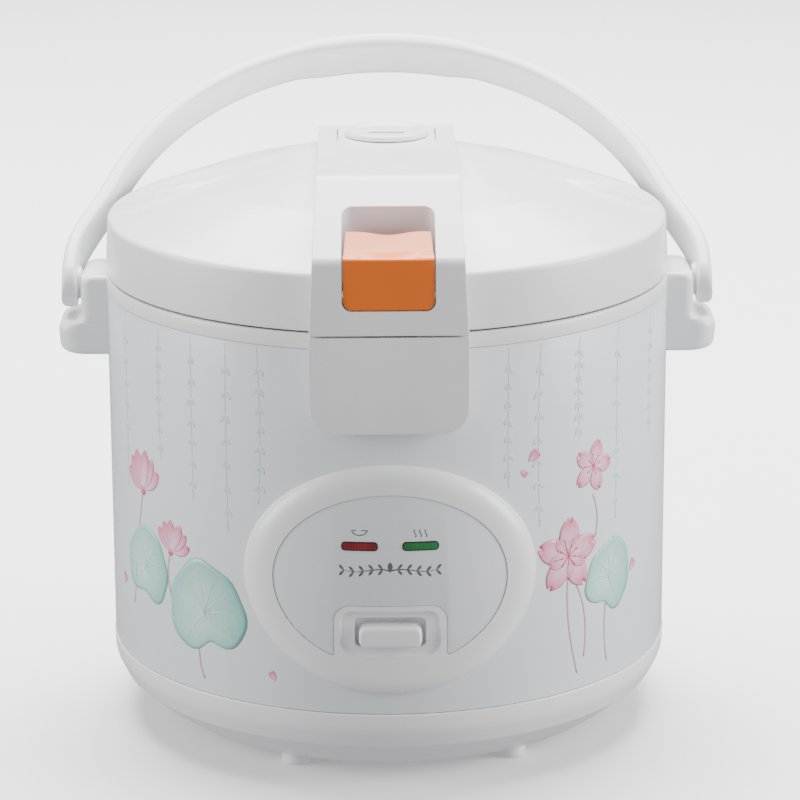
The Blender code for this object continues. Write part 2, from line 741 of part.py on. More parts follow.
def lever_bracket(mat):
    top = LINER_FLOOR_Z - GAP
    outline = [(-9.2 * MM, 55 * MM), (-9.2 * MM, top - 1.4 * MM), (9.2 * MM, top - 1.4 * MM)]
    outline += [(9.2 * MM, 55 * MM), (10.6 * MM, 55 * MM), (10.6 * MM, top), (-10.6 * MM, top), (-10.6 * MM, 55 * MM)]
    bracket = prism("lever_bracket", outline, "Y", LEVER_PIVOT_Y - 6 * MM, LEVER_PIVOT_Y + 6 * MM, mat)
    bore = rod("cut_bracket", "X", (LEVER_PIVOT_Y, LEVER_PIVOT_Z), 1.56 * MM, -20 * MM, 20 * MM, segments=16)
    return cut(bracket, bore)


def lever_pin(mat):
    return rod("lever_pin", "X", (LEVER_PIVOT_Y, LEVER_PIVOT_Z), 1.5 * MM, -12 * MM, 12 * MM, mat, 16)


def microswitch(mat):
    body = box("microswitch", (12 * MM, -76 * MM, 52 * MM), (32 * MM, -64 * MM, 63 * MM), mat)
    for i, x in enumerate((15 * MM, 22 * MM, 29 * MM)):
        tab = box(f"add_tab_{i}", (x, -72 * MM, 46 * MM), (x + 1 * MM, -68 * MM, 53 * MM))
        join(body, tab)
    return body


def thermal_fuse(mat):
    return rod("thermal_fuse", "X", (48 * MM, 75.4 * MM), 2.2 * MM, -9 * MM, 9 * MM, mat, 12)


# ==== panel ==============================================================
def inlay_outline(inset):
    """An oval with a rounded bay cut into it from below."""
    points = ellipse((0.0, INLAY_Z), INLAY_HALF_W - inset, INLAY_HALF_H - inset, 40)
    half = NOTCH_HALF_W + inset
    top = NOTCH_TOP_Z + inset
    corner = 7.0 * MM
    outline = [p for p in points if abs(p[0]) > half or p[1] > INLAY_Z]
    outline = sorted(outline, key=lambda p: math.atan2(p[0], p[1] - INLAY_Z))
    edge = INLAY_Z - (INLAY_HALF_H - inset) * math.sqrt(1.0 - (half / (INLAY_HALF_W - inset)) ** 2)
    bay = [(half, edge), (half, top - corner), (half - 0.3 * corner, top - 0.3 * corner)]
    bay += [(half - corner, top)]
    mirrored = [(-x, z) for x, z in reversed(bay)]
    return outline + bay + mirrored


def panel_bezel(mat):
    outline = ellipse((0.0, PANEL_Z), PANEL_HALF_W, PANEL_HALF_H)
    bezel = prism("panel_bezel", outline, "Y", -150 * MM, -90 * MM, mat)
    keep(bezel, tube("cut_bezel_wall", BODY_R + 0.4 * MM, PANEL_OUTER_R, 20 * MM, 180 * MM, segments=96))
    pocket = prism("cut_pocket", inlay_outline(0.0), "Y", -150 * MM, -90 * MM)
    keep(pocket, tube("cut_pocket_wall", PANEL_OUTER_R - 1.6 * MM, 145 * MM, 20 * MM, 180 * MM, segments=96))
    cut(bezel, pocket)
    slot = round_box_outline(SLOT_HALF_W, SLOT_LOW_Z, SLOT_HIGH_Z, 2.4 * MM, 3, 2.4 * MM)
    cut(bezel, prism("cut_bezel_slot", slot, "Y", -150 * MM, -90 * MM))
    for side, tag in ((-1.0, "red"), (1.0, "green")):
        cut(bezel, lamp_body(f"cut_bezel_{tag}", side, 0.3 * MM, -150 * MM))
    return bezel


def lamp_body(name, side, grow, front, mat=None):
    half = LAMP_HALF_W + grow
    outline = round_box_outline(half, LAMP_Z - LAMP_HALF_H - grow, LAMP_Z + LAMP_HALF_H + grow, 1.4 * MM, 2, 1.4 * MM)
    outline = [(x + side * LAMP_X, z) for x, z in outline]
    return prism(name, outline, "Y", front, -123 * MM, mat)


def panel_inlay(mat):
    inlay = prism("panel_inlay", inlay_outline(GAP), "Y", -150 * MM, -90 * MM, mat)
    inner = PANEL_OUTER_R - 1.3 * MM
    keep(inlay, tube("cut_inlay_wall", inner, inner + 0.9 * MM, 20 * MM, 180 * MM, segments=96))
    for side, tag in ((-1.0, "red"), (1.0, "green")):
        cut(inlay, lamp_body(f"cut_inlay_{tag}", side, 0.3 * MM, -150 * MM))
    return inlay


def lamps(red, green):
    front = -math.sqrt(PANEL_OUTER_R ** 2 - LAMP_X ** 2) - 0.2 * MM
    lamp_body("lamp_red", -1.0, 0.0, front, red)
    lamp_body("lamp_green", 1.0, 0.0, front, green)


def lamp_board(mat):
    return box("lamp_board", (-30 * MM, -121.9 * MM, 108 * MM), (30 * MM, -120.3 * MM, 124 * MM), mat)


# ==== handle =============================================================
def shoulder_drop(s):
    """How far the arch stays inside an ellipse: nothing beside the ears, most just above them."""
    share = min(1.0, max(0.0, (s - SHOULDER_START) / SHOULDER_SPAN))
    return HANDLE_SHOULDER_DROP * share * share * (3.0 - 2.0 * share)


def handle(mat):
    """An arched strap, modelled upright and then leaned back about the ear pivots."""
    corner = 2.4 * MM
    mid_x = HANDLE_HALF_SPAN - 0.5 * HANDLE_T
    mid_s = HANDLE_REACH - 0.5 * HANDLE_T
    stations = []
    for part in (-0.98, -0.82, -0.5):
        half = HANDLE_END_R * math.sqrt(1.0 - part * part)
        stations.append((0.0, part * HANDLE_END_R, half, True))
    steps = 28
    shoulder = math.asin(SHOULDER_START / mid_s)
    turns = [math.pi * k / steps for k in range(steps + 1)] + [shoulder, math.pi - shoulder]
    for turn in sorted(turns):
        stations.append((turn, None, None, None))
    for part in (-0.5, -0.82, -0.98):
        half = HANDLE_END_R * math.sqrt(1.0 - part * part)
        stations.append((math.pi, part * HANDLE_END_R, half, False))
    rings = []
    for turn, drop, half, left in stations:
        swell = 0.0
        if drop is None:
            s = mid_s * math.sin(turn)
            x = (mid_x - shoulder_drop(s) * abs(math.cos(turn))) * math.cos(turn)
            normal = Vector((mid_s * math.cos(turn), 0.0, mid_x * math.sin(turn))).normalized()
            half = 0.5 * HANDLE_W + (HANDLE_END_R - 0.5 * HANDLE_W) * max(0.0, 1.0 - 4.0 * math.sin(turn))
            if s > 0.5 * mid_s:
                swell = GRIP_SWELL * max(0.0, 1.0 - (x / GRIP_HALF_X) ** 2)
        else:
            x = mid_x if left else -mid_x
            s = drop
            normal = Vector((1.0 if left else -1.0, 0.0, 0.0))
        t = 0.5 * HANDLE_T
        low = t + swell
        soft = min(corner, 0.7 * half)
        section = [(t - soft, half), (t, half - soft), (t, soft - half), (t - soft, -half)]
        section += [(soft - low, -half), (-low, soft - half), (-low, half - soft), (soft - low, half)]
        ring = []
        for out, wide in section:
            ring.append((x + normal.x * out, wide, PIVOT_Z + s + normal.z * out))
        rings.append(ring)
    points, faces = ring_grid(rings)
    strap = solid("handle", points, faces, mat, (0.0, 0.0, PIVOT_Z))
    strap.rotation_euler = (-HANDLE_LEAN, 0.0, 0.0)
    for side, tag in ((-1.0, "left"), (1.0, "right")):
        low, high = sorted((side * 135 * MM, side * 149.5 * MM))
        cut(strap, rod(f"cut_arm_{tag}", "X", (0.0, PIVOT_Z), HANDLE_PIN_R + 0.1 * MM, low, high))
    return strap


def handle_pins(mat):
    for side, tag in ((-1.0, "left"), (1.0, "right")):
        low, high = sorted((side * 135.4 * MM, side * 149.2 * MM))
        rod(f"handle_pin_{tag}", "X", (0.0, PIVOT_Z), HANDLE_PIN_R, low, high, mat)


def pivot_washers(mat):
    for side, tag in ((-1.0, "left"), (1.0, "right")):
        low, high = sorted((side * (EAR_FACE_X + 0.2 * MM), side * (EAR_FACE_X + 0.8 * MM)))
        washer = rod(f"pivot_washer_{tag}", "X", (0.0, PIVOT_Z), 9 * MM, low, high, mat, pivot=(0.0, 0.0, PIVOT_Z))
        cut(washer, rod(f"cut_washer_{tag}", "X", (0.0, PIVOT_Z), HANDLE_PIN_R + 0.1 * MM, -0.16, 0.16))


# ==== lid ================================================================
def lid_height(share):
    """Height of the lid's top over its rim, for a share of the rim radius."""
    return (LID_APEX_Z - LID_RIM_Z) * (1.0 - 0.42 * share - 0.58 * share ** 4)


def lid_profile(grow):
    """Outer line of the lid from its lower edge to the apex."""
    steps = 7
    line = [(BODY_R + grow, LID_BOTTOM_Z), (LID_RIM_R + 0.5 * MM + grow, LID_RIM_Z - 1.0 * MM)]
    for k in range(steps + 1):
        share = 1.0 - k / steps
        radius = (LID_RIM_R - 1.0 * MM) * share + grow * share
        line.append((radius, LID_RIM_Z + lid_height(share) + grow))
    return line


def lid_shell(mat):
    outer = lid_profile(0.0)
    inner = [(max(0.0, r - LID_WALL), z if r > LID_RIM_R - 2 * MM else z - LID_WALL) for r, z in outer]
    inner = [inner[0], (inner[1][0], inner[1][1] - 2 * MM)] + inner[3:]
    inner[-1] = (0.0, LID_APEX_Z - LID_WALL)
    profile = list(reversed(inner)) + outer
    shell = lathe("lid_shell", profile, mat, pivot=(0.0, HINGE_Y, HINGE_Z))
    front = box("cut_lid_front", (-28 * MM, -150 * MM, 205 * MM), (28 * MM, -98 * MM, 290 * MM))
    rear = box("cut_lid_rear", (-32 * MM, 112 * MM, 205 * MM), (32 * MM, 150 * MM, 230 * MM))
    hole = rod("cut_lid_vent", "Z", (0.0, 0.0), VENT_WELL_R, 240 * MM, 290 * MM, segments=32)
    return cut(shell, front, rear, hole)


def bridge_line():
    """Side view of the bridge from its front foot over the lid to the hinge, as (y, low, high)."""
    low = LID_BOTTOM_Z + 0.5 * MM
    return [
        (BRIDGE_FRONT_Y, low, BRIDGE_EDGE_Z - 5 * MM),
        (BRIDGE_FRONT_Y + 2.5 * MM, low, BRIDGE_EDGE_Z),
        (BRIDGE_CREASE_Y, low, BRIDGE_TOP_Z),
        (BRIDGE_BACK_Y, BRIDGE_REAR_Z, BRIDGE_TOP_Z),
        (BRIDGE_BACK_Y + 53 * MM, BRIDGE_REAR_Z, BRIDGE_TOP_Z - 7 * MM),
        (HINGE_Y - 13.5 * MM, BRIDGE_REAR_Z, HINGE_Z + 31.0 * MM),
        (HINGE_Y - 4.5 * MM, BRIDGE_REAR_Z, HINGE_Z + 23.8 * MM),
        (HINGE_Y + 0.3 * MM, BRIDGE_REAR_Z, HINGE_Z + 17.0 * MM),
        (HINGE_Y + 1.4 * MM, BRIDGE_REAR_Z, HINGE_Z + 9.0 * MM),
    ]


def bridge_half_width(z):
    share = (z - LID_BOTTOM_Z) / (BRIDGE_TOP_Z - LID_BOTTOM_Z)
    return BRIDGE_HALF_W + (BRIDGE_TOP_HALF_W - BRIDGE_HALF_W) * share


def lid_bridge(mat):
    rings = []
    edge = 2.2 * MM
    for y, low, high in bridge_line():
        wide = bridge_half_width(low)
        narrow = bridge_half_width(high)
        shoulder = high - edge
        ring = [(-wide, y, low), (wide, y, low), (narrow, y, shoulder), (narrow - edge, y, high)]
        ring += [(edge - narrow, y, high), (-narrow, y, shoulder)]
        rings.append(ring)
    points, faces = ring_grid(rings)
    bridge = solid("lid_bridge", points, faces, mat, (0.0, HINGE_Y, HINGE_Z))
    envelope = [(0.0, 200 * MM), (BODY_R + GAP, 200 * MM)] + lid_profile(GAP)
    cut(bridge, lathe("cut_bridge_lid", envelope))
    half = BRIDGE_TOP_HALF_W - BRIDGE_WALL
    top = BRIDGE_TOP_Z - BRIDGE_WALL
    slope = [(-100 * MM, 205 * MM), (-100 * MM, 261 * MM), (BRIDGE_CREASE_Y, top), (BRIDGE_BACK_Y, top)]
    slope += [(BRIDGE_BACK_Y + 53 * MM, top - 7 * MM), (112 * MM, 249 * MM), (112 * MM, 205 * MM)]
    cut(bridge, prism("cut_bridge_hollow", slope, "X", -half, half))
    low_recess = box(
        "cut_recess",
        (-RECESS_HALF_W, -150 * MM, RECESS_LOW_Z),
        (RECESS_HALF_W, RECESS_BACK_Y, 300 * MM),
    )
    cut(bridge, low_recess)
    under = box(
        "cut_under_recess",
        (-RECESS_HALF_W, BRIDGE_FRONT_Y + BRIDGE_WALL, 205 * MM),
        (RECESS_HALF_W, RECESS_BACK_Y, RECESS_LOW_Z + 1 * MM),
    )
    cut(bridge, under)
    pin = rod("cut_latch_pin", "X", (LATCH_Y, LATCH_Z), LATCH_PIN_R + 0.05 * MM, -24 * MM, 24 * MM)
    well = rod("cut_vent_well", "Z", (0.0, 0.0), VENT_WELL_R, 240 * MM, 290 * MM, segments=32)
    return cut(bridge, pin, well)


def lid_inner_liner(mat):
    low = LID_BOTTOM_Z + GAP
    wall = 2.0 * MM
    outer = BODY_R - LID_WALL - 0.8 * MM
    ceiling = 226 * MM
    profile = [
        (TUBE_R + GAP, ceiling - wall),
        (119 * MM, ceiling - wall),
        (119 * MM, low),
        (outer, low),
        (outer, low + wall),
        (121 * MM, low + wall),
        (121 * MM, ceiling),
        (TUBE_R + GAP, ceiling),
    ]
    liner = lathe("lid_inner_liner", profile, mat, pivot=(0.0, HINGE_Y, HINGE_Z))
    for side in (-1.0, 1.0):
        low_x, high_x = sorted((side * 8.3 * MM, side * 24.7 * MM))
        outline = [(122 * MM, low + 0.5 * MM), (HINGE_Y, low + 0.3 * MM)]
        for k in range(1, 8):
            turn = -0.5 * math.pi + math.pi * k / 8.0
            outline.append((HINGE_Y + LUG_R * math.cos(turn), HINGE_Z + LUG_R * math.sin(turn)))
        outline += [(HINGE_Y, HINGE_Z + LUG_R), (122 * MM, HINGE_Z + 3.4 * MM)]
        join(liner, prism(f"add_knuckle_{side:+.0f}", outline, "X", low_x, high_x))
    bore = rod("cut_knuckle", "X", (HINGE_Y, HINGE_Z), HINGE_PIN_R + 0.05 * MM, -40 * MM, 40 * MM)
    hook = box("cut_liner_front", (-14 * MM, -140 * MM, 205 * MM), (14 * MM, -121.5 * MM, 220 * MM))
    return cut(liner, bore, hook)


def inner_cover(mat):
    low = 219.0 * MM
    thick = 1.2 * MM
    profile = [
        (9.8 * MM, low + 1.5 * MM),
        (40 * MM, low + 1.5 * MM),
        (46 * MM, low),
        (113 * MM, low),
        (113 * MM, low + thick),
        (46.4 * MM, low + thick),
        (40.4 * MM, low + thick + 1.5 * MM),
        (9.8 * MM, low + thick + 1.5 * MM),
    ]
    return lathe("inner_cover", profile, mat, segments=INNER_ROUND, pivot=(0.0, HINGE_Y, HINGE_Z))


def lid_gasket(mat):
    profile = [
        (110.0 * MM, 218.7 * MM),
        (110.5 * MM, 215.5 * MM),
        (112.0 * MM, 211.2 * MM),
        (114.0 * MM, 211.2 * MM),
        (113.6 * MM, 215.0 * MM),
        (117.0 * MM, 217.0 * MM),
        (117.0 * MM, 222.0 * MM),
        (110.0 * MM, 222.0 * MM),
        (110.0 * MM, 220.5 * MM),
        (113.3 * MM, 220.5 * MM),
        (113.3 * MM, 218.7 * MM),
    ]
    return lathe("lid_gasket", profile, mat, segments=INNER_ROUND, pivot=(0.0, HINGE_Y, HINGE_Z))


def steam_tube(mat):
    profile = [
        (TUBE_R - 1.5 * MM, 217 * MM),
        (TUBE_R, 217 * MM),
        (TUBE_R, 226.4 * MM),
        (TUBE_R + 3 * MM, 226.4 * MM),
        (TUBE_R + 3 * MM, 228 * MM),
        (TUBE_R, 228 * MM),
        (TUBE_R, 251 * MM),
        (TUBE_R - 1.5 * MM, 251 * MM),
    ]
    return lathe("steam_tube", profile, mat, segments=SMALL_ROUND, pivot=(0.0, HINGE_Y, HINGE_Z))


def vent_seal(mat):
    inner = TUBE_R + 0.1 * MM
    profile = [
        (inner, 217.2 * MM),
        (13 * MM, 217.2 * MM),
        (13 * MM, 220.2 * MM),
        (9.5 * MM, 220.2 * MM),
        (9.5 * MM, 222.0 * MM),
        (13 * MM, 222.0 * MM),
        (13 * MM, 223.7 * MM),
        (inner, 223.7 * MM),
    ]
    return lathe("vent_seal", profile, mat, segments=SMALL_ROUND, pivot=(0.0, HINGE_Y, HINGE_Z))


def steam_vent_cap(mat):
    top = BRIDGE_TOP_Z + 2.6 * MM
    under = BRIDGE_TOP_Z + GAP
    skirt = VENT_WELL_R - 0.6 * MM
    profile = [
        (0.0, top),
        (VENT_R - 2 * MM, top),
        (VENT_R, top - 1.4 * MM),
        (VENT_R, under),
        (skirt, under),
        (skirt, 252 * MM),
        (10 * MM, 252 * MM),
        (10 * MM, 253.5 * MM),
        (skirt - 1.5 * MM, 253.5 * MM),
        (skirt - 1.5 * MM, under - 1 * MM),
        (0.0, under - 1 * MM),
    ]
    cap = lathe("steam_vent_cap", profile, mat, segments=32, pivot=(0.0, 0.0, BRIDGE_TOP_Z))
    slot = box("cut_cap_slot", (-8.5 * MM, -5 * MM, 260 * MM), (8.5 * MM, -2 * MM, 290 * MM))
    return cut(cap, slot)


# ==== latch ==============================================================
def release_button(mat):
    front = BRIDGE_FRONT_Y + 0.2 * MM
    outline = [
        (front, RECESS_LOW_Z + GAP),
        (front, 243.5 * MM),
        (front + 1.6 * MM, 245.3 * MM),
        (-127 * MM, 247.2 * MM),
        (-113 * MM, 253 * MM),
        (-113 * MM, 248.5 * MM),
        (-126 * MM, 242.5 * MM),
        (-131.5 * MM, 240 * MM),
        (-131.5 * MM, RECESS_LOW_Z + GAP),
    ]
    pivot = (0.0, LATCH_Y, LATCH_Z)
    button = prism("release_button", outline, "X", -BUTTON_HALF_W, BUTTON_HALF_W, mat, pivot)
    keep(button, prism("cut_button_front", round_box_outline(BUTTON_HALF_W, RECESS_LOW_Z, 260 * MM, 4 * MM, 3), "Y", -0.15, -0.10))
    return button


def latch_hook(mat):
    """A plate that hangs from the latch pin behind the button, with a nose under the keeper."""
    outline = [
        (-131.0 * MM, 238 * MM),
        (-131.0 * MM, LATCH_Z),
        (-130.0 * MM, 214 * MM),
        (-129.3 * MM, 208 * MM),
        (-129.3 * MM, 201.5 * MM),
        (-126.5 * MM, 201.5 * MM),
        (-123.4 * MM, 205.2 * MM),
        (-126.8 * MM, 205.8 * MM),
        (-126.8 * MM, 214 * MM),
        (-124.6 * MM, LATCH_Z - 1.5 * MM),
        (-124.6 * MM, LATCH_Z + 2.5 * MM),
        (-128.2 * MM, 226 * MM),
        (-128.2 * MM, 238 * MM),
    ]
    pivot = (0.0, LATCH_Y, LATCH_Z)
    hook = prism("latch_hook", outline, "X", -9 * MM, 9 * MM, mat, pivot)
    bore = rod("cut_hook_bore", "X", (LATCH_Y, LATCH_Z), LATCH_PIN_R + 0.06 * MM, -30 * MM, 30 * MM)
    return cut(hook, bore)


def latch_pin(mat):
    return rod("latch_pin", "X", (LATCH_Y, LATCH_Z), LATCH_PIN_R, -23.5 * MM, 23.5 * MM, mat, pivot=(0.0, HINGE_Y, HINGE_Z))


def button_spring(mat):
    return coil("button_spring", (0.0, 233 * MM), "Y", 3.0 * MM, 0.5 * MM, -127.4 * MM, -104 * MM, 5, mat, 8)


def hinge_spring(mat):
    return coil("hinge_spring", (HINGE_Y, HINGE_Z), "X", 3.8 * MM, 0.7 * MM, -7 * MM, 7 * MM, 5, mat)


# ==== assembly ===========================================================
def build():
    for obj in list(bpy.data.objects):
        bpy.data.objects.remove(obj, do_unlink=True)
    white = material("white_plastic", WHITE, 0.35)
    cream = material("sleeve_enamel", (0.80, 0.86, 0.87), 0.3)
    orange = material("orange_plastic", (0.93, 0.33, 0.07), 0.35)
    pale = material("panel_film", (0.85, 0.87, 0.88), 0.25)
    steel = material("bright_steel", STEEL, 0.3, 1.0)
    cast = material("cast_aluminium", (0.72, 0.73, 0.74), 0.45, 1.0)
    dark = material("pot_coating", (0.30, 0.31, 0.32), 0.4, 0.6)
    rubber = material("silicone", (0.75, 0.76, 0.77), 0.7)
    black = material("black_plastic", (0.03, 0.03, 0.03), 0.45)
    green_board = material("circuit_board", (0.05, 0.25, 0.12), 0.5)
    red_lens = material("red_lens", (0.45, 0.03, 0.03), 0.15)
    green_lens = material("green_lens", (0.03, 0.35, 0.12), 0.15)
    magnet = material("magnet_metal", (0.12, 0.12, 0.12), 0.5, 0.8)
    brass = material("brass_pins", (0.78, 0.63, 0.33), 0.3, 1.0)

    shell = base_shell(white)
    cover = bottom_cover(steel)
    bottom_screws(steel, shell, cover)
    feet(white)
    outer_sleeve(cream)
    inner_liner(steel)
    upper_collar(white)
    latch_keeper(steel)
    latch_housing(white)
    hinge_cover(white)
    hinge_pin(steel)
    power_inlet(black)
    inlet_pins(brass)

    heater_plate(cast)
    heating_element(steel)
    thermostat_housing(steel)
    sensor_cap(cast)
    sensor_spring(steel)
    magnet_plunger(magnet)
    keep_warm_band(rubber)
    inner_pot(dark)

    switch_lever(steel)
    switch_knob(white)
    lever_bracket(steel)
    lever_pin(steel)
    microswitch(black)
    thermal_fuse(cream)

    panel_bezel(white)
    panel_inlay(pale)
    lamps(red_lens, green_lens)
    lamp_board(green_board)

    handle(white)
    handle_pins(steel)
    pivot_washers(white)

    lid_shell(white)
    lid_bridge(white)
    lid_inner_liner(white)
    inner_cover(cast)
    lid_gasket(rubber)
    steam_tube(white)
    vent_seal(rubber)
    steam_vent_cap(white)
    release_button(orange)
    latch_hook(steel)
    latch_pin(steel)
    button_spring(steel)
    hinge_spring(steel)


build()
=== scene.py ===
import json
import math
import random

import bmesh
import bpy
from mathutils import Matrix, Vector


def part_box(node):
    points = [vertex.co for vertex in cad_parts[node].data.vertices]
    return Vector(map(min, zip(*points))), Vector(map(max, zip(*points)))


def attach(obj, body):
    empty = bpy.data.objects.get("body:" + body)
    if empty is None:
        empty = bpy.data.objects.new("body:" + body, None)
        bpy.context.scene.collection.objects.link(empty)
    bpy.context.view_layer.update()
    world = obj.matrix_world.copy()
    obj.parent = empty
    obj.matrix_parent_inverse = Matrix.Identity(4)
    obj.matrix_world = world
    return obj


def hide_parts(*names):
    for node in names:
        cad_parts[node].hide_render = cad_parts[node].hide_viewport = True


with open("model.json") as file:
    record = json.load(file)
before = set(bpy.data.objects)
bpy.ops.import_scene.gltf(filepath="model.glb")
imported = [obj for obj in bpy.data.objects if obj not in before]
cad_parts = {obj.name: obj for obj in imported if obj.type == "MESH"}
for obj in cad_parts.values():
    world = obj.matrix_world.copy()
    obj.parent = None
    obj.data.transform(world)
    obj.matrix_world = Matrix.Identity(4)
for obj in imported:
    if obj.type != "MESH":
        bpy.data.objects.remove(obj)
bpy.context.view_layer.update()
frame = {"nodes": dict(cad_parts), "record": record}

MM = 0.001
BODY = "cooker_body"
SIDES = ((-1.0, "left"), (1.0, "right"))
SMOOTH_TURN = math.radians(34.0)

# ---- sizes read from the frame --------------------------------------------
SLEEVE_LOW, SLEEVE_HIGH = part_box("outer_sleeve")
SLEEVE_R = SLEEVE_HIGH[0]
LID_BOTTOM_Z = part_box("lid_shell")[0][2]
BRIDGE_LOW, BRIDGE_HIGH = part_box("lid_bridge")
COLLAR_LOW, COLLAR_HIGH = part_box("upper_collar")
COLLAR_TOP_Z = COLLAR_HIGH[2]
HOUSING_LOW, HOUSING_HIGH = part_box("latch_housing")
BEZEL_LOW, BEZEL_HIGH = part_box("panel_bezel")
BUTTON_LOW, BUTTON_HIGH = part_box("release_button")
KNOB_LOW, KNOB_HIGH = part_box("switch_knob")
BASE_LOW, BASE_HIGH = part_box("base_shell")
POT_LOW, POT_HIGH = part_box("inner_pot")
JOINTS = {joint["name"]: joint for joint in frame["record"]["behaviour"]["joints"]}
PIVOT_Z = JOINTS["handle_swing"]["pos_m"][2]
HINGE = JOINTS["lid_hinge"]["pos_m"]


def mm(*values):
    """Millimetres as metres."""
    return tuple(value * MM for value in values)


# ==== mesh helpers =======================================================
def make(name, points, faces, mat):
    """A mesh object with consistent normals, shaded smooth except at real edges."""
    mesh = bpy.data.meshes.new(name)
    mesh.from_pydata([tuple(p) for p in points], [], faces)
    obj = link_new(name, mesh)
    mesh.materials.append(mat)
    return finish_mesh(obj)


def link_new(name, data):
    """A new object in the scene that shows the given data."""
    obj = bpy.data.objects.new(name, data)
    bpy.context.scene.collection.objects.link(obj)
    return obj


def finish_mesh(obj):
    tidy = bmesh.new()
    tidy.from_mesh(obj.data)
    bmesh.ops.recalc_face_normals(tidy, faces=tidy.faces)
    if tidy.calc_volume(signed=True) < 0.0:
        bmesh.ops.reverse_faces(tidy, faces=tidy.faces)
    tidy.to_mesh(obj.data)
    tidy.free()
    obj.data.shade_smooth()
    obj.data.set_sharp_from_angle(angle=SMOOTH_TURN)
    return obj


def bake(obj):
    """Replaces an object's mesh with what its modifiers make of it."""
    graph = bpy.context.evaluated_depsgraph_get()
    mesh = bpy.data.meshes.new_from_object(obj.evaluated_get(graph))
    obj.modifiers.clear()
    obj.data = mesh
    return finish_mesh(obj)


def combine(obj, operation, *others):
    for other in others:
        step = obj.modifiers.new("join", "BOOLEAN")
        step.operation = operation
        step.solver = "EXACT"
        step.object = other
    bake(obj)
    for other in others:
        bpy.data.objects.remove(other, do_unlink=True)
    return obj


def carve(obj, *cutters):
    return combine(obj, "DIFFERENCE", *cutters)


def bevel(obj, width, segments=4, turn=40.0):
    step = obj.modifiers.new("bevel", "BEVEL")
    step.width = width
    step.segments = segments
    step.limit_method = "ANGLE"
    step.angle_limit = math.radians(turn)
    return bake(obj)


def grid_faces(rows, count, closed_row=True, caps=True):
    """Faces between successive rows of points, each row closed into a ring or left open."""
    faces = []
    spans = count if closed_row else count - 1
    for i in range(rows - 1):
        j = i + 1
        for k in range(spans):
            m = (k + 1) % count
            faces.append((i * count + k, i * count + m, j * count + m, j * count + k))
    if caps:
        faces.append(tuple(range(count)))
        faces.append(tuple((rows - 1) * count + k for k in range(count)))
    return faces


def fillet(corners, steps=5, closed=True):
    """An outline from corners (a, b, radius), each rounded with an arc of its radius."""
    outline = []
    count = len(corners)
    for i, (a, b, radius) in enumerate(corners):
        here = Vector((a, b))
        if radius == 0.0 or (not closed and i in (0, count - 1)):
            outline.append((a, b))
            continue
        back = Vector(corners[i - 1][:2]) - here
        on = Vector(corners[(i + 1) % count][:2]) - here
        half = 0.5 * back.angle(on)
        reach = min(radius / math.tan(half), 0.49 * back.length, 0.49 * on.length)
        arc = reach * math.tan(half)
        centre = here + (back.normalized() + on.normalized()).normalized() * (arc / math.sin(half))
        first = here + back.normalized() * reach - centre
        last = here + on.normalized() * reach - centre
        start = math.atan2(first.y, first.x)
        sweep = math.atan2(last.y, last.x) - start
        sweep = (sweep + math.pi) % (2.0 * math.pi) - math.pi
        for k in range(steps + 1):
            turn = start + sweep * k / steps
            outline.append((centre.x + arc * math.cos(turn), centre.y + arc * math.sin(turn)))
    return outline


def on_drum(radius, turn, z):
    """A point about the body axis; turn 0 is the front."""
    return (radius * math.sin(turn), -radius * math.cos(turn), z)


def lathe(name, profile, mat, centre=(0.0, 0.0), segments=160):
    """A closed profile (radius, z) turned about a vertical axis; radius 0 is a pole."""
    points = []
    rings = []
    for radius, z in profile:
        if radius == 0.0:
            rings.append([len(points)] * segments)
            points.append((centre[0], centre[1], z))
            continue
        rings.append(list(range(len(points), len(points) + segments)))
        for k in range(segments):
            turn = 2.0 * math.pi * k / segments
            points.append((centre[0] + radius * math.sin(turn), centre[1] - radius * math.cos(turn), z))
    faces = []
    for i in range(len(rings)):
        a = rings[i]
        b = rings[(i + 1) % len(rings)]
        for k in range(segments):
            m = (k + 1) % segments
            corners = list(dict.fromkeys((a[k], a[m], b[m], b[k])))
            if len(corners) > 2:
                faces.append(tuple(corners))
    return make(name, points, faces, mat)


def prism(name, outline, axis, low, high, mat):
    def place(pair, along):
        if axis == "X":
            return (along, pair[0], pair[1])
        if axis == "Y":
            return (pair[0], along, pair[1])
        return (pair[0], pair[1], along)

    points = [place(pair, along) for along in (low, high) for pair in outline]
    return make(name, points, grid_faces(2, len(outline)), mat)


def rounded_box(half_w, low, high, low_r, high_r, steps=8):
    """An upright rectangle about x = 0 with one radius below and one above."""
    right = [(half_w, low, low_r), (half_w, high, high_r)]
    left = [(-half_w, high, high_r), (-half_w, low, low_r)]
    return fillet(right + left, steps)


def ellipse(centre, half_w, half_h, segments=128):
    turns = [2.0 * math.pi * k / segments for k in range(segments)]
    return [(centre[0] + half_w * math.cos(t), centre[1] + half_h * math.sin(t)) for t in turns]


def drum(name, radius, low, high, segments=192):
    """A helper cylinder about the body axis."""
    return lathe(name, [(0.0, low), (radius, low), (radius, high), (0.0, high)], WHITE, segments=segments)


def block(name, low, high):
    outline = [(low[0], low[1]), (high[0], low[1]), (high[0], high[1]), (low[0], high[1])]
    return prism(name, outline, "Z", low[2], high[2], WHITE)


def add(obj, body, slot, *nodes):
    """Parents a piece to the empty of the body it rides on and hides the CAD nodes it stands for; slot, its
    finish, is not used.
    """
    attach(obj, body)
    if nodes:
        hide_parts(*nodes)
    return obj


def ease(share):
    share = min(1.0, max(0.0, share))
    return share * share * (3.0 - 2.0 * share)


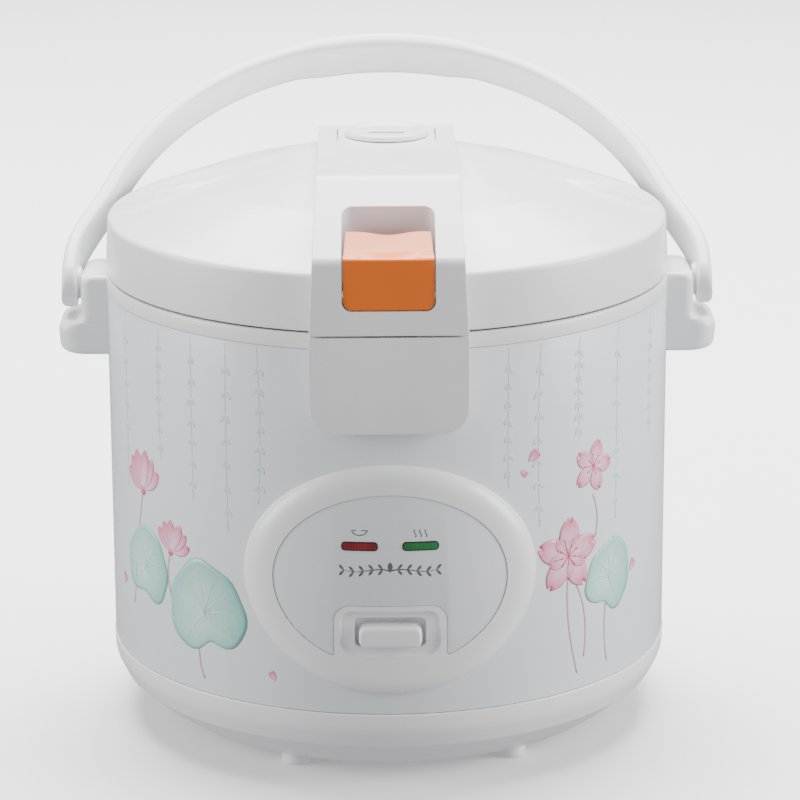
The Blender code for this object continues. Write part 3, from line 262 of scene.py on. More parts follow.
# ==== materials ==========================================================
class Nodes:
    """Short forms for building a material's node tree."""

    def __init__(self, name):
        self.mat = bpy.data.materials.new(name)
        self.mat.use_nodes = True
        self.tree = self.mat.node_tree
        self.shader = self.tree.nodes["Principled BSDF"]

    def node(self, kind, **settings):
        made = self.tree.nodes.new(kind)
        for key, value in settings.items():
            setattr(made, key, value)
        return made

    def link(self, source, target):
        self.tree.links.new(source, target)

    def place(self, scale=(1.0, 1.0, 1.0)):
        coords = self.node("ShaderNodeTexCoord")
        mapping = self.node("ShaderNodeMapping")
        mapping.inputs["Scale"].default_value = scale
        self.link(coords.outputs["Object"], mapping.inputs["Vector"])
        return mapping.outputs["Vector"]

    def noise(self, scale, detail=4.0, stretch=(1.0, 1.0, 1.0)):
        made = self.node("ShaderNodeTexNoise")
        made.inputs["Scale"].default_value = scale
        made.inputs["Detail"].default_value = detail
        self.link(self.place(stretch), made.inputs["Vector"])
        return made.outputs["Fac"]

    def ramp(self, source, *stops):
        made = self.node("ShaderNodeValToRGB")
        ramp = made.color_ramp
        while len(ramp.elements) < len(stops):
            ramp.elements.new(0.5)
        for element, (position, colour) in zip(ramp.elements, stops):
            element.position = position
            element.color = (*colour, 1.0)
        self.link(source, made.inputs["Fac"])
        return made.outputs["Color"]

    def span(self, source, low, high, first, last):
        made = self.node("ShaderNodeMapRange")
        for key, value in (("From Min", low), ("From Max", high), ("To Min", first), ("To Max", last)):
            made.inputs[key].default_value = value
        self.link(source, made.inputs["Value"])
        return made.outputs["Result"]

    def mix(self, first, second, share):
        """Blends two colours by a fixed share."""
        made = self.node("ShaderNodeMix", data_type="RGBA", blend_type="MIX")
        self.link(first, made.inputs["A"])
        self.link(second, made.inputs["B"])
        made.inputs["Factor"].default_value = share
        return made.outputs["Result"]

    def bump(self, source, strength, distance=0.2 * MM, after=None):
        made = self.node("ShaderNodeBump")
        made.inputs["Strength"].default_value = strength
        made.inputs["Distance"].default_value = distance
        self.link(source, made.inputs["Height"])
        if after:
            self.link(after, made.inputs["Normal"])
        return made.outputs["Normal"]

    def finish(self, colour=None, roughness=None, normal=None, **values):
        for socket, source in (("Base Color", colour), ("Roughness", roughness), ("Normal", normal)):
            if source is not None:
                self.link(source, self.shader.inputs[socket])
        for key, value in values.items():
            self.shader.inputs[key.replace("_", " ")].default_value = value
        return self.mat


def tint(colour, factor):
    return tuple(min(1.0, c * factor) for c in colour)


def plastic(name, colour, rough=0.3, grain=0.05, spread=0.03, coat=0.15):
    """Moulded plastic: faint mottling, fine surface grain and uneven gloss from handling."""
    n = Nodes(name)
    mottle = n.noise(22.0, 5.0)
    base = n.ramp(mottle, (0.3, tint(colour, 1.0 - spread)), (0.7, tint(colour, 1.0 + spread)))
    smears = n.span(n.noise(55.0, 3.0, (1.0, 1.0, 0.35)), 0.3, 0.7, rough - 0.05, rough + 0.07)
    skin = n.bump(n.noise(2600.0, 2.0), grain, 0.05 * MM)
    wave = n.bump(n.noise(30.0, 1.0), 0.08, 0.35 * MM, skin)
    return n.finish(base, smears, wave, Coat_Weight=coat, Coat_Roughness=0.12)


def metal(name, colour, rough, stretch, grain=0.12, contrast=1.0):
    """Bare metal with a drawn, spun or cast grain, depending on how its noise is stretched."""
    n = Nodes(name)
    lines = n.noise(240.0, 6.0, stretch)
    dull, bright = tint(colour, 1.0 - 0.18 * contrast), tint(colour, 1.0 + 0.1 * contrast)
    cloudy = tint(colour, 1.0 - 0.1 * contrast)
    base = n.mix(n.ramp(lines, (0.3, dull), (0.7, bright)),
                 n.ramp(n.noise(14.0, 4.0), (0.35, cloudy), (0.65, colour)), 0.4)
    gloss = n.span(lines, 0.3, 0.7, rough - 0.07 * contrast, rough + 0.1 * contrast)
    return n.finish(base, gloss, n.bump(lines, grain, 0.06 * MM), Metallic=1.0)


def sleeve_enamel():
    """Pale blue-grey enamelled sheet: soft vertical washes of colour under a clear coat."""
    n = Nodes("sleeve_enamel")
    streaks = n.noise(9.0, 3.0, (1.0, 1.0, 0.28))
    wash = n.ramp(streaks, (0.34, (0.70, 0.765, 0.79)), (0.66, (0.80, 0.83, 0.845)))
    cloud = n.ramp(n.noise(26.0, 5.0), (0.3, (0.74, 0.79, 0.81)), (0.7, (0.79, 0.825, 0.84)))
    base = n.mix(wash, cloud, 0.35)
    gloss = n.span(n.noise(60.0, 3.0), 0.3, 0.7, 0.26, 0.36)
    peel = n.bump(n.noise(420.0, 2.0), 0.05, 0.08 * MM)
    return n.finish(base, gloss, peel, Coat_Weight=0.5, Coat_Roughness=0.14)


def panel_film():
    """Satin printed film: a very fine speckle on pale grey."""
    n = Nodes("panel_film")
    speckle = n.noise(1900.0, 2.0)
    base = n.mix(n.ramp(speckle, (0.35, (0.69, 0.70, 0.72)), (0.65, (0.77, 0.775, 0.79))),
                 n.ramp(n.noise(18.0, 3.0), (0.3, (0.70, 0.71, 0.73)), (0.7, (0.76, 0.765, 0.78))), 0.5)
    gloss = n.span(n.noise(80.0, 3.0), 0.3, 0.7, 0.28, 0.38)
    return n.finish(base, gloss, n.bump(speckle, 0.06, 0.03 * MM), Coat_Weight=0.25, Coat_Roughness=0.2)


def lens(name, deep, bright):
    """Coloured lamp lens with fine upright flutes."""
    n = Nodes(name)
    flutes = n.node("ShaderNodeTexWave", wave_type="BANDS", bands_direction="X")
    flutes.inputs["Scale"].default_value = 260.0
    flutes.inputs["Distortion"].default_value = 0.4
    n.link(n.place(), flutes.inputs["Vector"])
    base = n.mix(n.ramp(flutes.outputs["Fac"], (0.2, deep), (0.9, bright)),
                 n.ramp(n.noise(160.0, 3.0), (0.35, deep), (0.7, bright)), 0.5)
    gloss = n.span(n.noise(300.0, 2.0), 0.3, 0.7, 0.08, 0.18)
    normal = n.bump(flutes.outputs["Fac"], 0.15, 0.1 * MM)
    return n.finish(base, gloss, normal, Coat_Weight=0.15, Coat_Roughness=0.08)


def printed(name, pale, deep, rough=0.3):
    """Printed ink whose strength follows the 'ink' values stored on the mesh."""
    n = Nodes(name)
    ink = n.node("ShaderNodeAttribute", attribute_name="ink")
    speck = n.span(n.noise(700.0, 3.0), 0.3, 0.7, -0.08, 0.08)
    total = n.node("ShaderNodeMath", operation="ADD", use_clamp=True)
    n.link(ink.outputs["Fac"], total.inputs[0])
    n.link(speck, total.inputs[1])
    base = n.ramp(total.outputs["Value"], (0.0, pale), (1.0, deep))
    gloss = n.span(n.noise(90.0, 3.0), 0.3, 0.7, rough - 0.05, rough + 0.06)
    skin = n.bump(n.noise(900.0, 2.0), 0.05, 0.03 * MM)
    return n.finish(base, gloss, skin, Coat_Weight=0.1, Coat_Roughness=0.15)


def coating():
    """Dark non-stick coating with pale mineral flecks."""
    n = Nodes("pot_coating")
    flecks = n.node("ShaderNodeTexVoronoi", feature="F1")
    flecks.inputs["Scale"].default_value = 620.0
    n.link(n.place(), flecks.inputs["Vector"])
    dots = n.ramp(flecks.outputs["Distance"], (0.10, (0.34, 0.34, 0.35)), (0.22, (0.085, 0.087, 0.09)))
    cloud = n.ramp(n.noise(40.0, 5.0), (0.3, (0.07, 0.07, 0.075)), (0.7, (0.11, 0.112, 0.116)))
    gloss = n.span(n.noise(70.0, 4.0), 0.3, 0.7, 0.3, 0.46)
    skin = n.bump(n.noise(1500.0, 2.0), 0.12, 0.05 * MM)
    return n.finish(n.mix(cloud, dots, 0.45), gloss, skin, Metallic=0.25)


def rubber():
    n = Nodes("silicone")
    base = n.ramp(n.noise(60.0, 4.0), (0.3, (0.62, 0.63, 0.63)), (0.7, (0.72, 0.73, 0.73)))
    gloss = n.span(n.noise(150.0, 3.0), 0.3, 0.7, 0.5, 0.66)
    return n.finish(base, gloss, n.bump(n.noise(1200.0, 3.0), 0.1, 0.06 * MM), Subsurface_Weight=0.1)


def floor_material():
    n = Nodes("studio_floor")
    base = n.ramp(n.noise(2.0, 3.0), (0.3, (0.93, 0.93, 0.93)), (0.7, (0.95, 0.95, 0.95)))
    return n.finish(base, Roughness=0.9)


MATERIALS = {
    "white": plastic("white_plastic", (0.83, 0.832, 0.838), 0.3),
    "orange": plastic("orange_plastic", (0.82, 0.155, 0.001), 0.34, 0.08, 0.05, 0.0),
    "black": plastic("black_plastic", (0.018, 0.018, 0.02), 0.42, 0.25, 0.2, 0.05),
    "board": plastic("circuit_board", (0.03, 0.19, 0.08), 0.45, 0.1, 0.15, 0.2),
    "sleeve": sleeve_enamel(),
    "film": panel_film(),
    "steel": metal("bright_steel", (0.62, 0.63, 0.64), 0.28, (1.0, 1.0, 0.06)),
    "cast": metal("cast_aluminium", (0.70, 0.71, 0.72), 0.42, (1.0, 1.0, 1.0), 0.05, 0.35),
    "magnet": metal("magnet_metal", (0.16, 0.16, 0.17), 0.5, (1.0, 1.0, 1.0), 0.2),
    "brass": metal("brass_pins", (0.78, 0.60, 0.30), 0.28, (0.1, 1.0, 1.0)),
    "red": lens("red_lens", (0.13, 0.001, 0.001), (0.30, 0.006, 0.005)),
    "green": lens("green_lens", (0.002, 0.09, 0.015), (0.01, 0.22, 0.05)),
    "coating": coating(),
    "rubber": rubber(),
    "blossom": printed("blossom_ink", (0.90, 0.66, 0.77), (0.72, 0.02, 0.17)),
    "leaf": printed("leaf_ink", (0.60, 0.82, 0.77), (0.11, 0.44, 0.37)),
    "faint": printed("faint_ink", (0.74, 0.80, 0.81), (0.60, 0.745, 0.78)),
    "stem": printed("stem_ink", (0.72, 0.55, 0.60), (0.42, 0.30, 0.40)),
    "mark": printed("mark_ink", (0.30, 0.30, 0.32), (0.045, 0.045, 0.05)),
}
WHITE = MATERIALS["white"]


# ==== body ===============================================================
def base_skin():
    """Lower ring: an upright band, a soft crease and a conical underside, open in the middle."""
    top = BASE_HIGH[2] - 5.0 * MM
    under = BASE_LOW[2]
    crease = mm(126.3, 20.3)
    inner = 84.0 * MM
    wall = 2.4 * MM
    profile = fillet([
        (inner, under, 0.8 * MM),
        (106.5 * MM, under, 5.0 * MM),
        mm(115.0, 10.8, 20.0),
        (*crease, 3.2 * MM),
        (SLEEVE_R + 0.1 * MM, 29.0 * MM, 14.0 * MM),
        (SLEEVE_R + 0.5 * MM, top, 0.7 * MM),
        (SLEEVE_R - 1.1 * MM, top, 0.3 * MM),
        (SLEEVE_R - 1.1 * MM, top + 5.0 * MM, 0.3 * MM),
        (SLEEVE_R - 3.5 * MM, top + 5.0 * MM, 0.3 * MM),
        (SLEEVE_R - 3.5 * MM, 30.0 * MM, 3.0 * MM),
        (104.5 * MM, under + wall, 3.0 * MM),
        (inner, under + wall, 0.8 * MM),
    ])
    add(lathe("base_skin", profile, WHITE, segments=192), BODY, "white_plastic", "base_shell")


def feet():
    for i in range(4):
        low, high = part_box(f"foot_{i + 1}")
        centre = (0.5 * (low[0] + high[0]), 0.5 * (low[1] + high[1]))
        radius = 0.5 * (high[0] - low[0])
        profile = fillet([
            mm(0.0, 0.5, 0.0),
            (radius - 3.4 * MM, 0.5 * MM, 0.4 * MM),
            (radius - 2.8 * MM, 0.0, 0.5 * MM),
            (radius - 0.5 * MM, 0.0, 1.5 * MM),
            (radius, 8.2 * MM, 0.0),
            mm(0.0, 8.2, 0.0),
        ])
        foot = lathe(f"foot_pad_{i + 1}", profile, WHITE, centre, 48)
        add(foot, BODY, "white_plastic", f"foot_{i + 1}")


def hook_way():
    """The way that the latch hook needs through the rim at the front."""
    return block("hook", mm(-11, -150, 198), mm(11, -119, 220))


def sleeve():
    """Enamelled sheet drum with hemmed edges, open behind the panel and at the inlet."""
    low, high = SLEEVE_LOW[2], SLEEVE_HIGH[2]
    wall = 0.7 * MM
    profile = fillet([
        (SLEEVE_R - wall, low, 0.25 * MM),
        (SLEEVE_R, low, 0.3 * MM),
        (SLEEVE_R, high, 0.3 * MM),
        (SLEEVE_R - wall, high, 0.25 * MM),
    ], 3)
    drum_sheet = lathe("sleeve_sheet", profile, MATERIALS["sleeve"], segments=240)
    window = block("window", mm(-30, -140, 66), mm(30, -100, 126))
    socket = block("socket", mm(-17.4, 100, 55.6), mm(17.4, 140, 84.4))
    carve(drum_sheet, window, socket, hook_way())
    add(drum_sheet, BODY, "sleeve_enamel", "outer_sleeve")


def ear_points(side, flare_x, cheek_x, low, high, half_y):
    """One ear as rounded plan sections stacked upwards along a filleted front outline."""
    inner = 120.0 * MM
    step_z = high - 21.9 * MM
    outline = fillet([
        (inner, low, 0.0),
        (flare_x - 1.2 * MM, low, 5.2 * MM),
        (flare_x, step_z + 0.2 * MM, 6.0 * MM),
        (cheek_x, step_z - 0.2 * MM, 4.0 * MM),
        (cheek_x - 0.3 * MM, high, 4.4 * MM),
        (inner, high + 0.3 * MM, 0.0),
    ], 10, closed=False)
    rings = []
    for x, z in outline:
        flare = ease((x - cheek_x + 1.0 * MM) / (8.0 * MM))
        reach = max(0.0, x - inner)
        edge = 2.2 * MM
        top = max(0.0, z - (high - edge)) / edge
        bottom = max(0.0, (low + edge) - z) / edge
        pull = edge * (1.0 - math.sqrt(max(0.0, 1.0 - min(1.0, max(top, bottom)) ** 2)))
        half = half_y - pull
        corner = min((4.5 + 4.5 * flare) * MM, max(0.4 * MM, 0.8 * reach), 0.95 * half)
        plan = fillet([
            (inner - 1.0 * MM, -half, 0.0),
            (max(x, inner - 0.4 * MM), -half, corner),
            (max(x, inner - 0.4 * MM), half, corner),
            (inner - 1.0 * MM, half, 0.0),
        ], 7)
        rings.append([(side * px, py, z) for px, py in plan])
    return [p for ring in rings for p in ring], grid_faces(len(rings), len(rings[0]))


def collar():
    """Collar ring with a smooth band, the seat for the pot's flange and the two handle ears."""
    band_low = COLLAR_TOP_Z - 7.0 * MM
    outer = SLEEVE_R + 0.25 * MM
    profile = fillet([
        (110.5 * MM, band_low + 0.8 * MM, 0.4 * MM),
        (110.5 * MM, COLLAR_TOP_Z - 2.7 * MM, 0.8 * MM),
        (117.5 * MM, COLLAR_TOP_Z - 2.7 * MM, 0.8 * MM),
        (117.6 * MM, COLLAR_TOP_Z, 0.7 * MM),
        (outer - 0.1 * MM, COLLAR_TOP_Z, 1.2 * MM),
        (outer, band_low, 0.35 * MM),
        (129.9 * MM, band_low, 0.2 * MM),
        (129.9 * MM, band_low - 4.6 * MM, 0.4 * MM),
        (127.9 * MM, band_low - 4.6 * MM, 0.4 * MM),
        (127.9 * MM, band_low + 0.8 * MM, 0.4 * MM),
    ], 4)
    ring = lathe("collar_ring", profile, WHITE, segments=192)
    carve(ring, hook_way())
    add(ring, BODY, "white_plastic", "upper_collar")
    flare_x = COLLAR_HIGH[0]
    cheek_x = 142.3 * MM
    ear_half = 19.0 * MM
    for side, tag in SIDES:
        points, faces = ear_points(
            side, flare_x, cheek_x, COLLAR_LOW[2] + 1.0 * MM, COLLAR_TOP_Z - 0.4 * MM, ear_half)
        ear = make(f"handle_ear_{tag}", points, faces, WHITE)
        core = [mm(0.0, 140), (SLEEVE_R + 1.3 * MM, 140 * MM), (SLEEVE_R + 1.3 * MM, band_low)]
        core += [(SLEEVE_R - 4 * MM, band_low), (SLEEVE_R - 4 * MM, 230 * MM), mm(0.0, 230)]
        carve(ear, lathe("core", core, WHITE, segments=192))
        add(ear, BODY, "white_plastic", "upper_collar")


def latch_block():
    """Rounded block under the latch, with soft front edges and a curved back on the drum."""
    half = HOUSING_HIGH[0]
    outline = rounded_box(half, HOUSING_LOW[2], HOUSING_HIGH[2] + 0.25 * MM, 11.5 * MM, 0.3 * MM, 12)
    piece = prism("latch_block", outline, "Y", HOUSING_LOW[1], -108 * MM, WHITE)
    bevel(piece, 2.6 * MM, 5, 60.0)
    hook = block("hook", (-11 * MM, HOUSING_LOW[1] + 2.2 * MM, 198 * MM), mm(11, -119, 225))
    carve(piece, drum("core", SLEEVE_R + 0.4 * MM, 150 * MM, 230 * MM), hook)
    add(piece, BODY, "white_plastic", "latch_housing")


def rear_cover():
    """Hinge cover behind the body with its two hinge lugs."""
    low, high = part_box("hinge_cover")
    outline = rounded_box(high[0], low[2], 208 * MM, 11.0 * MM, 2.0 * MM, 10)
    piece = prism("hinge_cover_skin", outline, "Y", 118 * MM, high[1], WHITE)
    bevel(piece, 2.2 * MM, 4, 60.0)
    carve(piece, drum("core", SLEEVE_R + 0.4 * MM, 150 * MM, 230 * MM))
    add(piece, BODY, "white_plastic", "hinge_cover")
    lug_r = 5.0 * MM
    for side, tag in SIDES:
        arc = [(HINGE[1] + lug_r * math.cos(t), HINGE[2] + lug_r * math.sin(t))
               for t in (math.pi * k / 16.0 for k in range(17))]
        web = HINGE[1] + 0.6 * MM
        front_edge = [(HINGE[1] - 3.5 * MM, HINGE[2] - 3.6 * MM), (web, 212.4 * MM), (web, 202 * MM)]
        outline = [(HINGE[1] + lug_r, 202 * MM)] + arc + front_edge
        ends = sorted((side * 25.2 * MM, side * 31.0 * MM))
        lug = bevel(prism(f"hinge_lug_{tag}", outline, "X", *ends, WHITE), 0.5 * MM, 2, 60.0)
        add(lug, BODY, "white_plastic", "hinge_cover")


def inlet():
    """Recessed appliance inlet with a rounded flange."""
    low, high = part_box("power_inlet")
    black = MATERIALS["black"]
    face = rounded_box(high[0], low[2], high[2], 4.5 * MM, 4.5 * MM)
    flange = prism("inlet_flange", face, "Y", 129 * MM, high[1], black)
    bevel(flange, 1.1 * MM, 3, 60.0)
    socket = prism("socket", rounded_box(*mm(12.0, 62, 78, 2.0, 5.0)), "Y", 122 * MM, 150 * MM, black)
    body = block("inlet_body", mm(-17, 119, 56), mm(17, 130, 84))
    combine(flange, "UNION", body)
    pin_r = 1.9 * MM
    pins = [prism("pin_hole", ellipse((x, 70 * MM), pin_r, pin_r, 24), "Y", 110 * MM, 130 * MM, black)
            for x in mm(-7, 0, 7)]
    carve(flange, socket, *pins)
    flange.data.materials.clear()
    flange.data.materials.append(black)
    add(flange, BODY, "black_plastic", "power_inlet")


# ==== front panel ========================================================
PANEL_C = (0.5 * (BEZEL_LOW[0] + BEZEL_HIGH[0]), 0.5 * (BEZEL_LOW[2] + BEZEL_HIGH[2]))
PANEL_HALF = (0.5 * (BEZEL_HIGH[0] - BEZEL_LOW[0]), 0.5 * (BEZEL_HIGH[2] - BEZEL_LOW[2]))
PANEL_R = 136.0 * MM
INLAY_C_Z = 101.0 * MM
INLAY_HALF = mm(52.0, 40.0)
NOTCH_HALF = 25.0 * MM
NOTCH_TOP = 89.7 * MM
LAMP_X = 13.4 * MM
LAMP_Z = 117.5 * MM


def wrap(x, z, radius):
    """A front-view point (x, z) carried straight back onto a drum of the given radius."""
    return (x, -math.sqrt(radius * radius - x * x), z)


def inlay_outline(inset):
    """An oval with a rounded bay cut into it from below."""
    half_w, half_h = INLAY_HALF[0] - inset, INLAY_HALF[1] - inset
    bay = NOTCH_HALF + inset
    top = NOTCH_TOP + inset
    edge = INLAY_C_Z - half_h * math.sqrt(1.0 - (bay / half_w) ** 2)
    start = math.atan2(bay / half_w, (INLAY_C_Z - edge) / half_h)
    steps = 96
    oval = []
    for k in range(steps + 1):
        turn = start + (2.0 * math.pi - 2.0 * start) * k / steps
        oval.append((half_w * math.sin(turn), INLAY_C_Z - half_h * math.cos(turn), 0.0))
    oval[0] = (*oval[0][:2], 1.6 * MM)
    oval[-1] = (*oval[-1][:2], 1.6 * MM)
    corners = oval + [(-bay, top, 7.5 * MM), (bay, top, 7.5 * MM)]
    return fillet(corners, 8)


def lamp_outline(side, grow):
    half_w, half_h = 7.6 * MM + grow, 1.65 * MM + grow
    corner = half_h * 0.8
    centred = rounded_box(half_w, LAMP_Z - half_h, LAMP_Z + half_h, corner, corner, 5)
    return [(x + side * LAMP_X, z) for x, z in centred]


def skin_prism(name, outline, inner, outer, mat, soft=0.0):
    """An outline cut out of a shell about the body axis."""
    low = min(z for _, z in outline) - 5 * MM
    high = max(z for _, z in outline) + 5 * MM
    piece = prism(name, outline, "Y", -150 * MM, -100 * MM, mat)
    shell = lathe("shell", [(inner, low), (outer, low), (outer, high), (inner, high)], mat, segments=240)
    combine(piece, "INTERSECT", shell)
    return bevel(piece, soft, 3, 50.0) if soft else piece


def bezel():
    """Oval bezel that swells out of the drum, with a pocket for the film and the switch slot."""
    segments = 144
    shares = [1.0, 0.995, 0.98, 0.96, 0.93, 0.90, 0.87, 0.84, 0.80, 0.6, 0.4, 0.2]
    swell_start = 0.85
    rise = PANEL_R - SLEEVE_R - 0.2 * MM
    rings = []
    for share in shares:
        depth = max(0.0, (share - swell_start) / (1.0 - swell_start))
        radius = SLEEVE_R + 0.2 * MM + rise * (1.0 - depth ** 2.2) ** (1.0 / 2.2)
        ring = []
        for k in range(segments):
            turn = 2.0 * math.pi * k / segments
            x = PANEL_C[0] + PANEL_HALF[0] * share * math.cos(turn)
            z = PANEL_C[1] + PANEL_HALF[1] * share * math.sin(turn)
            ring.append(wrap(x, z, radius))
        rings.append(ring)
    back = [[wrap(x, z, SLEEVE_R + 0.15 * MM) for x, _, z in ring] for ring in reversed(rings)]
    front = rings
    points = [p for ring in back + front for p in ring]
    total = len(back) + len(front)
    faces = grid_faces(total, segments, caps=False)
    points.append(wrap(PANEL_C[0], PANEL_C[1], SLEEVE_R + 0.15 * MM))
    points.append(wrap(PANEL_C[0], PANEL_C[1], PANEL_R))
    for k in range(segments):
        m = (k + 1) % segments
        faces.append((k, m, len(points) - 2))
        faces.append(((total - 1) * segments + k, (total - 1) * segments + m, len(points) - 1))
    piece = make("panel_surround", points, faces, WHITE)
    pocket = skin_prism("pocket", inlay_outline(0.0), PANEL_R - 1.2 * MM, PANEL_R + 6 * MM, WHITE)
    slot = prism("slot", rounded_box(*mm(15.9, 70.3, 84.0, 2.6, 2.6)), "Y", -150 * MM, -110 * MM, WHITE)
    sink = prism("sink", rounded_box(*mm(22.6, 66.5, 87.4, 7.0, 5.5)), "Y", -150 * MM, -133.4 * MM, WHITE)
    bevel(sink, 1.4 * MM, 4, 60.0)
    carve(piece, pocket, sink, slot)
    add(piece, BODY, "white_plastic", "panel_bezel")
    tray_face = rounded_box(*mm(16.4, 69.8, 84.5, 2.6, 2.6))
    tray = prism("switch_tray", tray_face, "Y", -132.2 * MM, -127.6 * MM, WHITE)
    hollow = prism("hollow", rounded_box(*mm(15.7, 70.5, 83.8, 2.2, 2.2)), "Y", -140 * MM, -128.6 * MM, WHITE)
    way = prism("way", rounded_box(*mm(11.0, 70.9, 80.4, 1.0, 1.0)), "Y", -140 * MM, -120 * MM, WHITE)
    carve(tray, hollow, way)
    add(tray, BODY, "white_plastic")


def film():
    """Printed film sunk in the bezel, with black surrounds and lenses for the two lamps."""
    mat, black = MATERIALS["film"], MATERIALS["black"]
    through = mm(-150, -100)
    holes = [prism("hole", lamp_outline(side, 0.5 * MM), "Y", *through, mat) for side in (-1.0, 1.0)]
    sheet_at = (PANEL_R - 1.1 * MM, PANEL_R - 0.35 * MM)
    sheet = skin_prism("panel_film_sheet", inlay_outline(0.25 * MM), *sheet_at, mat, 0.22 * MM)
    carve(sheet, *holes)
    add(sheet, BODY, "panel_film", "panel_inlay")
    for side, tag in ((-1.0, "red"), (1.0, "green")):
        rim_at = (PANEL_R - 2.5 * MM, PANEL_R - 0.15 * MM)
        rim = skin_prism(f"lamp_rim_{tag}", lamp_outline(side, 0.45 * MM), *rim_at, black, 0.12 * MM)
        carve(rim, prism("hole", lamp_outline(side, -0.1 * MM), "Y", *through, black))
        add(rim, BODY, "black_plastic", f"lamp_{tag}")
        lens_at = (PANEL_R - 3.0 * MM, PANEL_R + 0.15 * MM)
        shape = lamp_outline(side, -0.15 * MM)
        glass = skin_prism(f"lamp_lens_{tag}", shape, *lens_at, MATERIALS[tag], 0.5 * MM)
        add(glass, BODY, f"{tag}_lens", f"lamp_{tag}")


def switch_bar():
    """Push-down switch bar: a rounded bar with bevelled edges."""
    half = KNOB_HIGH[0]
    outline = rounded_box(half, KNOB_LOW[2], KNOB_HIGH[2], 3.6 * MM, 3.6 * MM, 8)
    bar = prism("switch_bar", outline, "Y", KNOB_LOW[1], KNOB_HIGH[1], WHITE)
    bevel(bar, 1.7 * MM, 5, 60.0)
    add(bar, "lever", "white_plastic", "switch_knob")


# ==== handle =============================================================
HANDLE_LEAN = math.radians(57.5)


def carry_handle():
    """Arched strap: rounded outside, flatter inside, thicker and wider over the grip."""
    low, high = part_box("handle")
    mid_x = high[0] - 4.4 * MM
    reach = 156.9 * MM
    end_r = 11.3 * MM
    stations = []
    tips = 9
    for k in range(tips):
        part = math.sin(0.5 * math.pi * (tips - k) / (tips + 0.15))
        stations.append((0.0, -part * end_r, end_r * math.sqrt(1.0 - part * part)))
    steps = 96
    for k in range(steps + 1):
        stations.append((math.pi * k / steps, None, None))
    for turn, drop, half in [(math.pi, d, h) for _, d, h in reversed(stations[:tips])]:
        stations.append((turn, drop, half))
    lean = Matrix.Rotation(-HANDLE_LEAN, 4, "X")
    around = 28
    power = 2.0 / 3.9
    rings = []
    for turn, drop, half in stations:
        grip = 0.0
        if drop is None:
            s = reach * math.sin(turn)
            shoulder = 8.2 * MM * ease((s - 10 * MM) / (50 * MM)) * abs(math.cos(turn))
            x = (mid_x - shoulder) * math.cos(turn)
            normal = Vector((reach * math.cos(turn), 0.0, mid_x * math.sin(turn))).normalized()
            grip = ease((46 * MM - abs(x)) / (16 * MM)) if s > 0.5 * reach else 0.0
            waist = ease(s / (60 * MM))
            half = (11.3 - 1.9 * waist + 1.2 * grip) * MM
        else:
            x = mid_x if turn == 0.0 else -mid_x
            s = drop
            normal = Vector((1.0 if turn == 0.0 else -1.0, 0.0, 0.0))
        outer_t = (4.0 + 0.7 * ease(s / (40 * MM))) * MM
        inner_t = (3.5 + 0.7 * ease(s / (40 * MM)) + 1.7 * grip) * MM
        ring = []
        for k in range(around):
            phi = 2.0 * math.pi * k / around
            c, w = math.cos(phi), math.sin(phi)
            out = math.copysign(abs(c) ** power, c) * (outer_t if c > 0.0 else inner_t)
            wide = math.copysign(abs(w) ** power, w) * half
            squeeze = min(1.0, half / (4.0 * MM))
            out *= squeeze ** 0.5
            upright = Vector((x + normal.x * out, wide, s + normal.z * out))
            ring.append(lean @ upright + Vector((0.0, 0.0, PIVOT_Z)))
        rings.append(ring)
    strap = make("handle_strap", [p for ring in rings for p in ring], grid_faces(len(rings), around), WHITE)
    add(strap, "carry_handle", "white_plastic", "handle")
    for side, tag in SIDES:
        outline = ellipse((0.0, PIVOT_Z), 7.4 * MM, 7.4 * MM, 64)
        ends = sorted((side * 142.5 * MM, side * 145.4 * MM))
        disc = prism(f"pivot_disc_{tag}", outline, "X", *ends, WHITE)
        bevel(disc, 0.8 * MM, 4, 60.0)
        add(disc, "washers", "white_plastic", f"pivot_washer_{tag}")


# ==== lid ================================================================
RIM_R = 128.9 * MM
RIM_Z = 238.0 * MM
FRONT_LINE = [(0.0, 267.6), (20.0, 267.0), (40.0, 264.6), (55.0, 261.4), (65.0, 258.8), (75.0, 256.4),
              (84.0, 254.2), (128.9, 238.0)]
SIDE_LINE = [(0.0, 267.6), (20.0, 267.0), (40.0, 264.7), (60.0, 260.6), (75.0, 257.2), (84.0, 255.2),
             (94.0, 253.2), (104.0, 250.2), (114.0, 246.8), (120.0, 244.4),
             (124.0, 242.4), (127.0, 240.2), (128.9, 238.2)]
CROWN_R = 85.5 * MM
WEDGE_INNER, WEDGE_OUTER = 10.6, 2.6


def along(line, radius):
    """Height at a radius on a line of (radius, z) points given in millimetres."""
    r = radius / MM
    for (r0, z0), (r1, z1) in zip(line, line[1:]):
        if r <= r1:
            return (z0 + (z1 - z0) * (r - r0) / (r1 - r0)) * MM
    return line[-1][1] * MM


def lid_height(radius, turn):
    """Height of the lid: straight facets front and rear, a fuller wedge at each side, a low crown."""
    from_side = abs(abs(math.degrees(math.remainder(turn, math.pi))) - 90.0)
    share = max(0.0, (radius - CROWN_R) / (RIM_R - CROWN_R))
    border = WEDGE_INNER + (WEDGE_OUTER - WEDGE_INNER) * share
    spread = 1.2 + 14.0 * max(0.0, 1.0 - radius / CROWN_R)
    wedge = ease((border + spread - from_side) / (2.0 * spread))
    front = along(FRONT_LINE, radius)
    return front + (along(SIDE_LINE, radius) - front) * wedge


def front_gap():
    """Where the bridge takes the lid's place at the front."""
    return block("front", mm(-28, -150, 205), mm(28, -98, 290))


def vent_well():
    return drum("well", 17.3 * MM, 240 * MM, 290 * MM, 64)


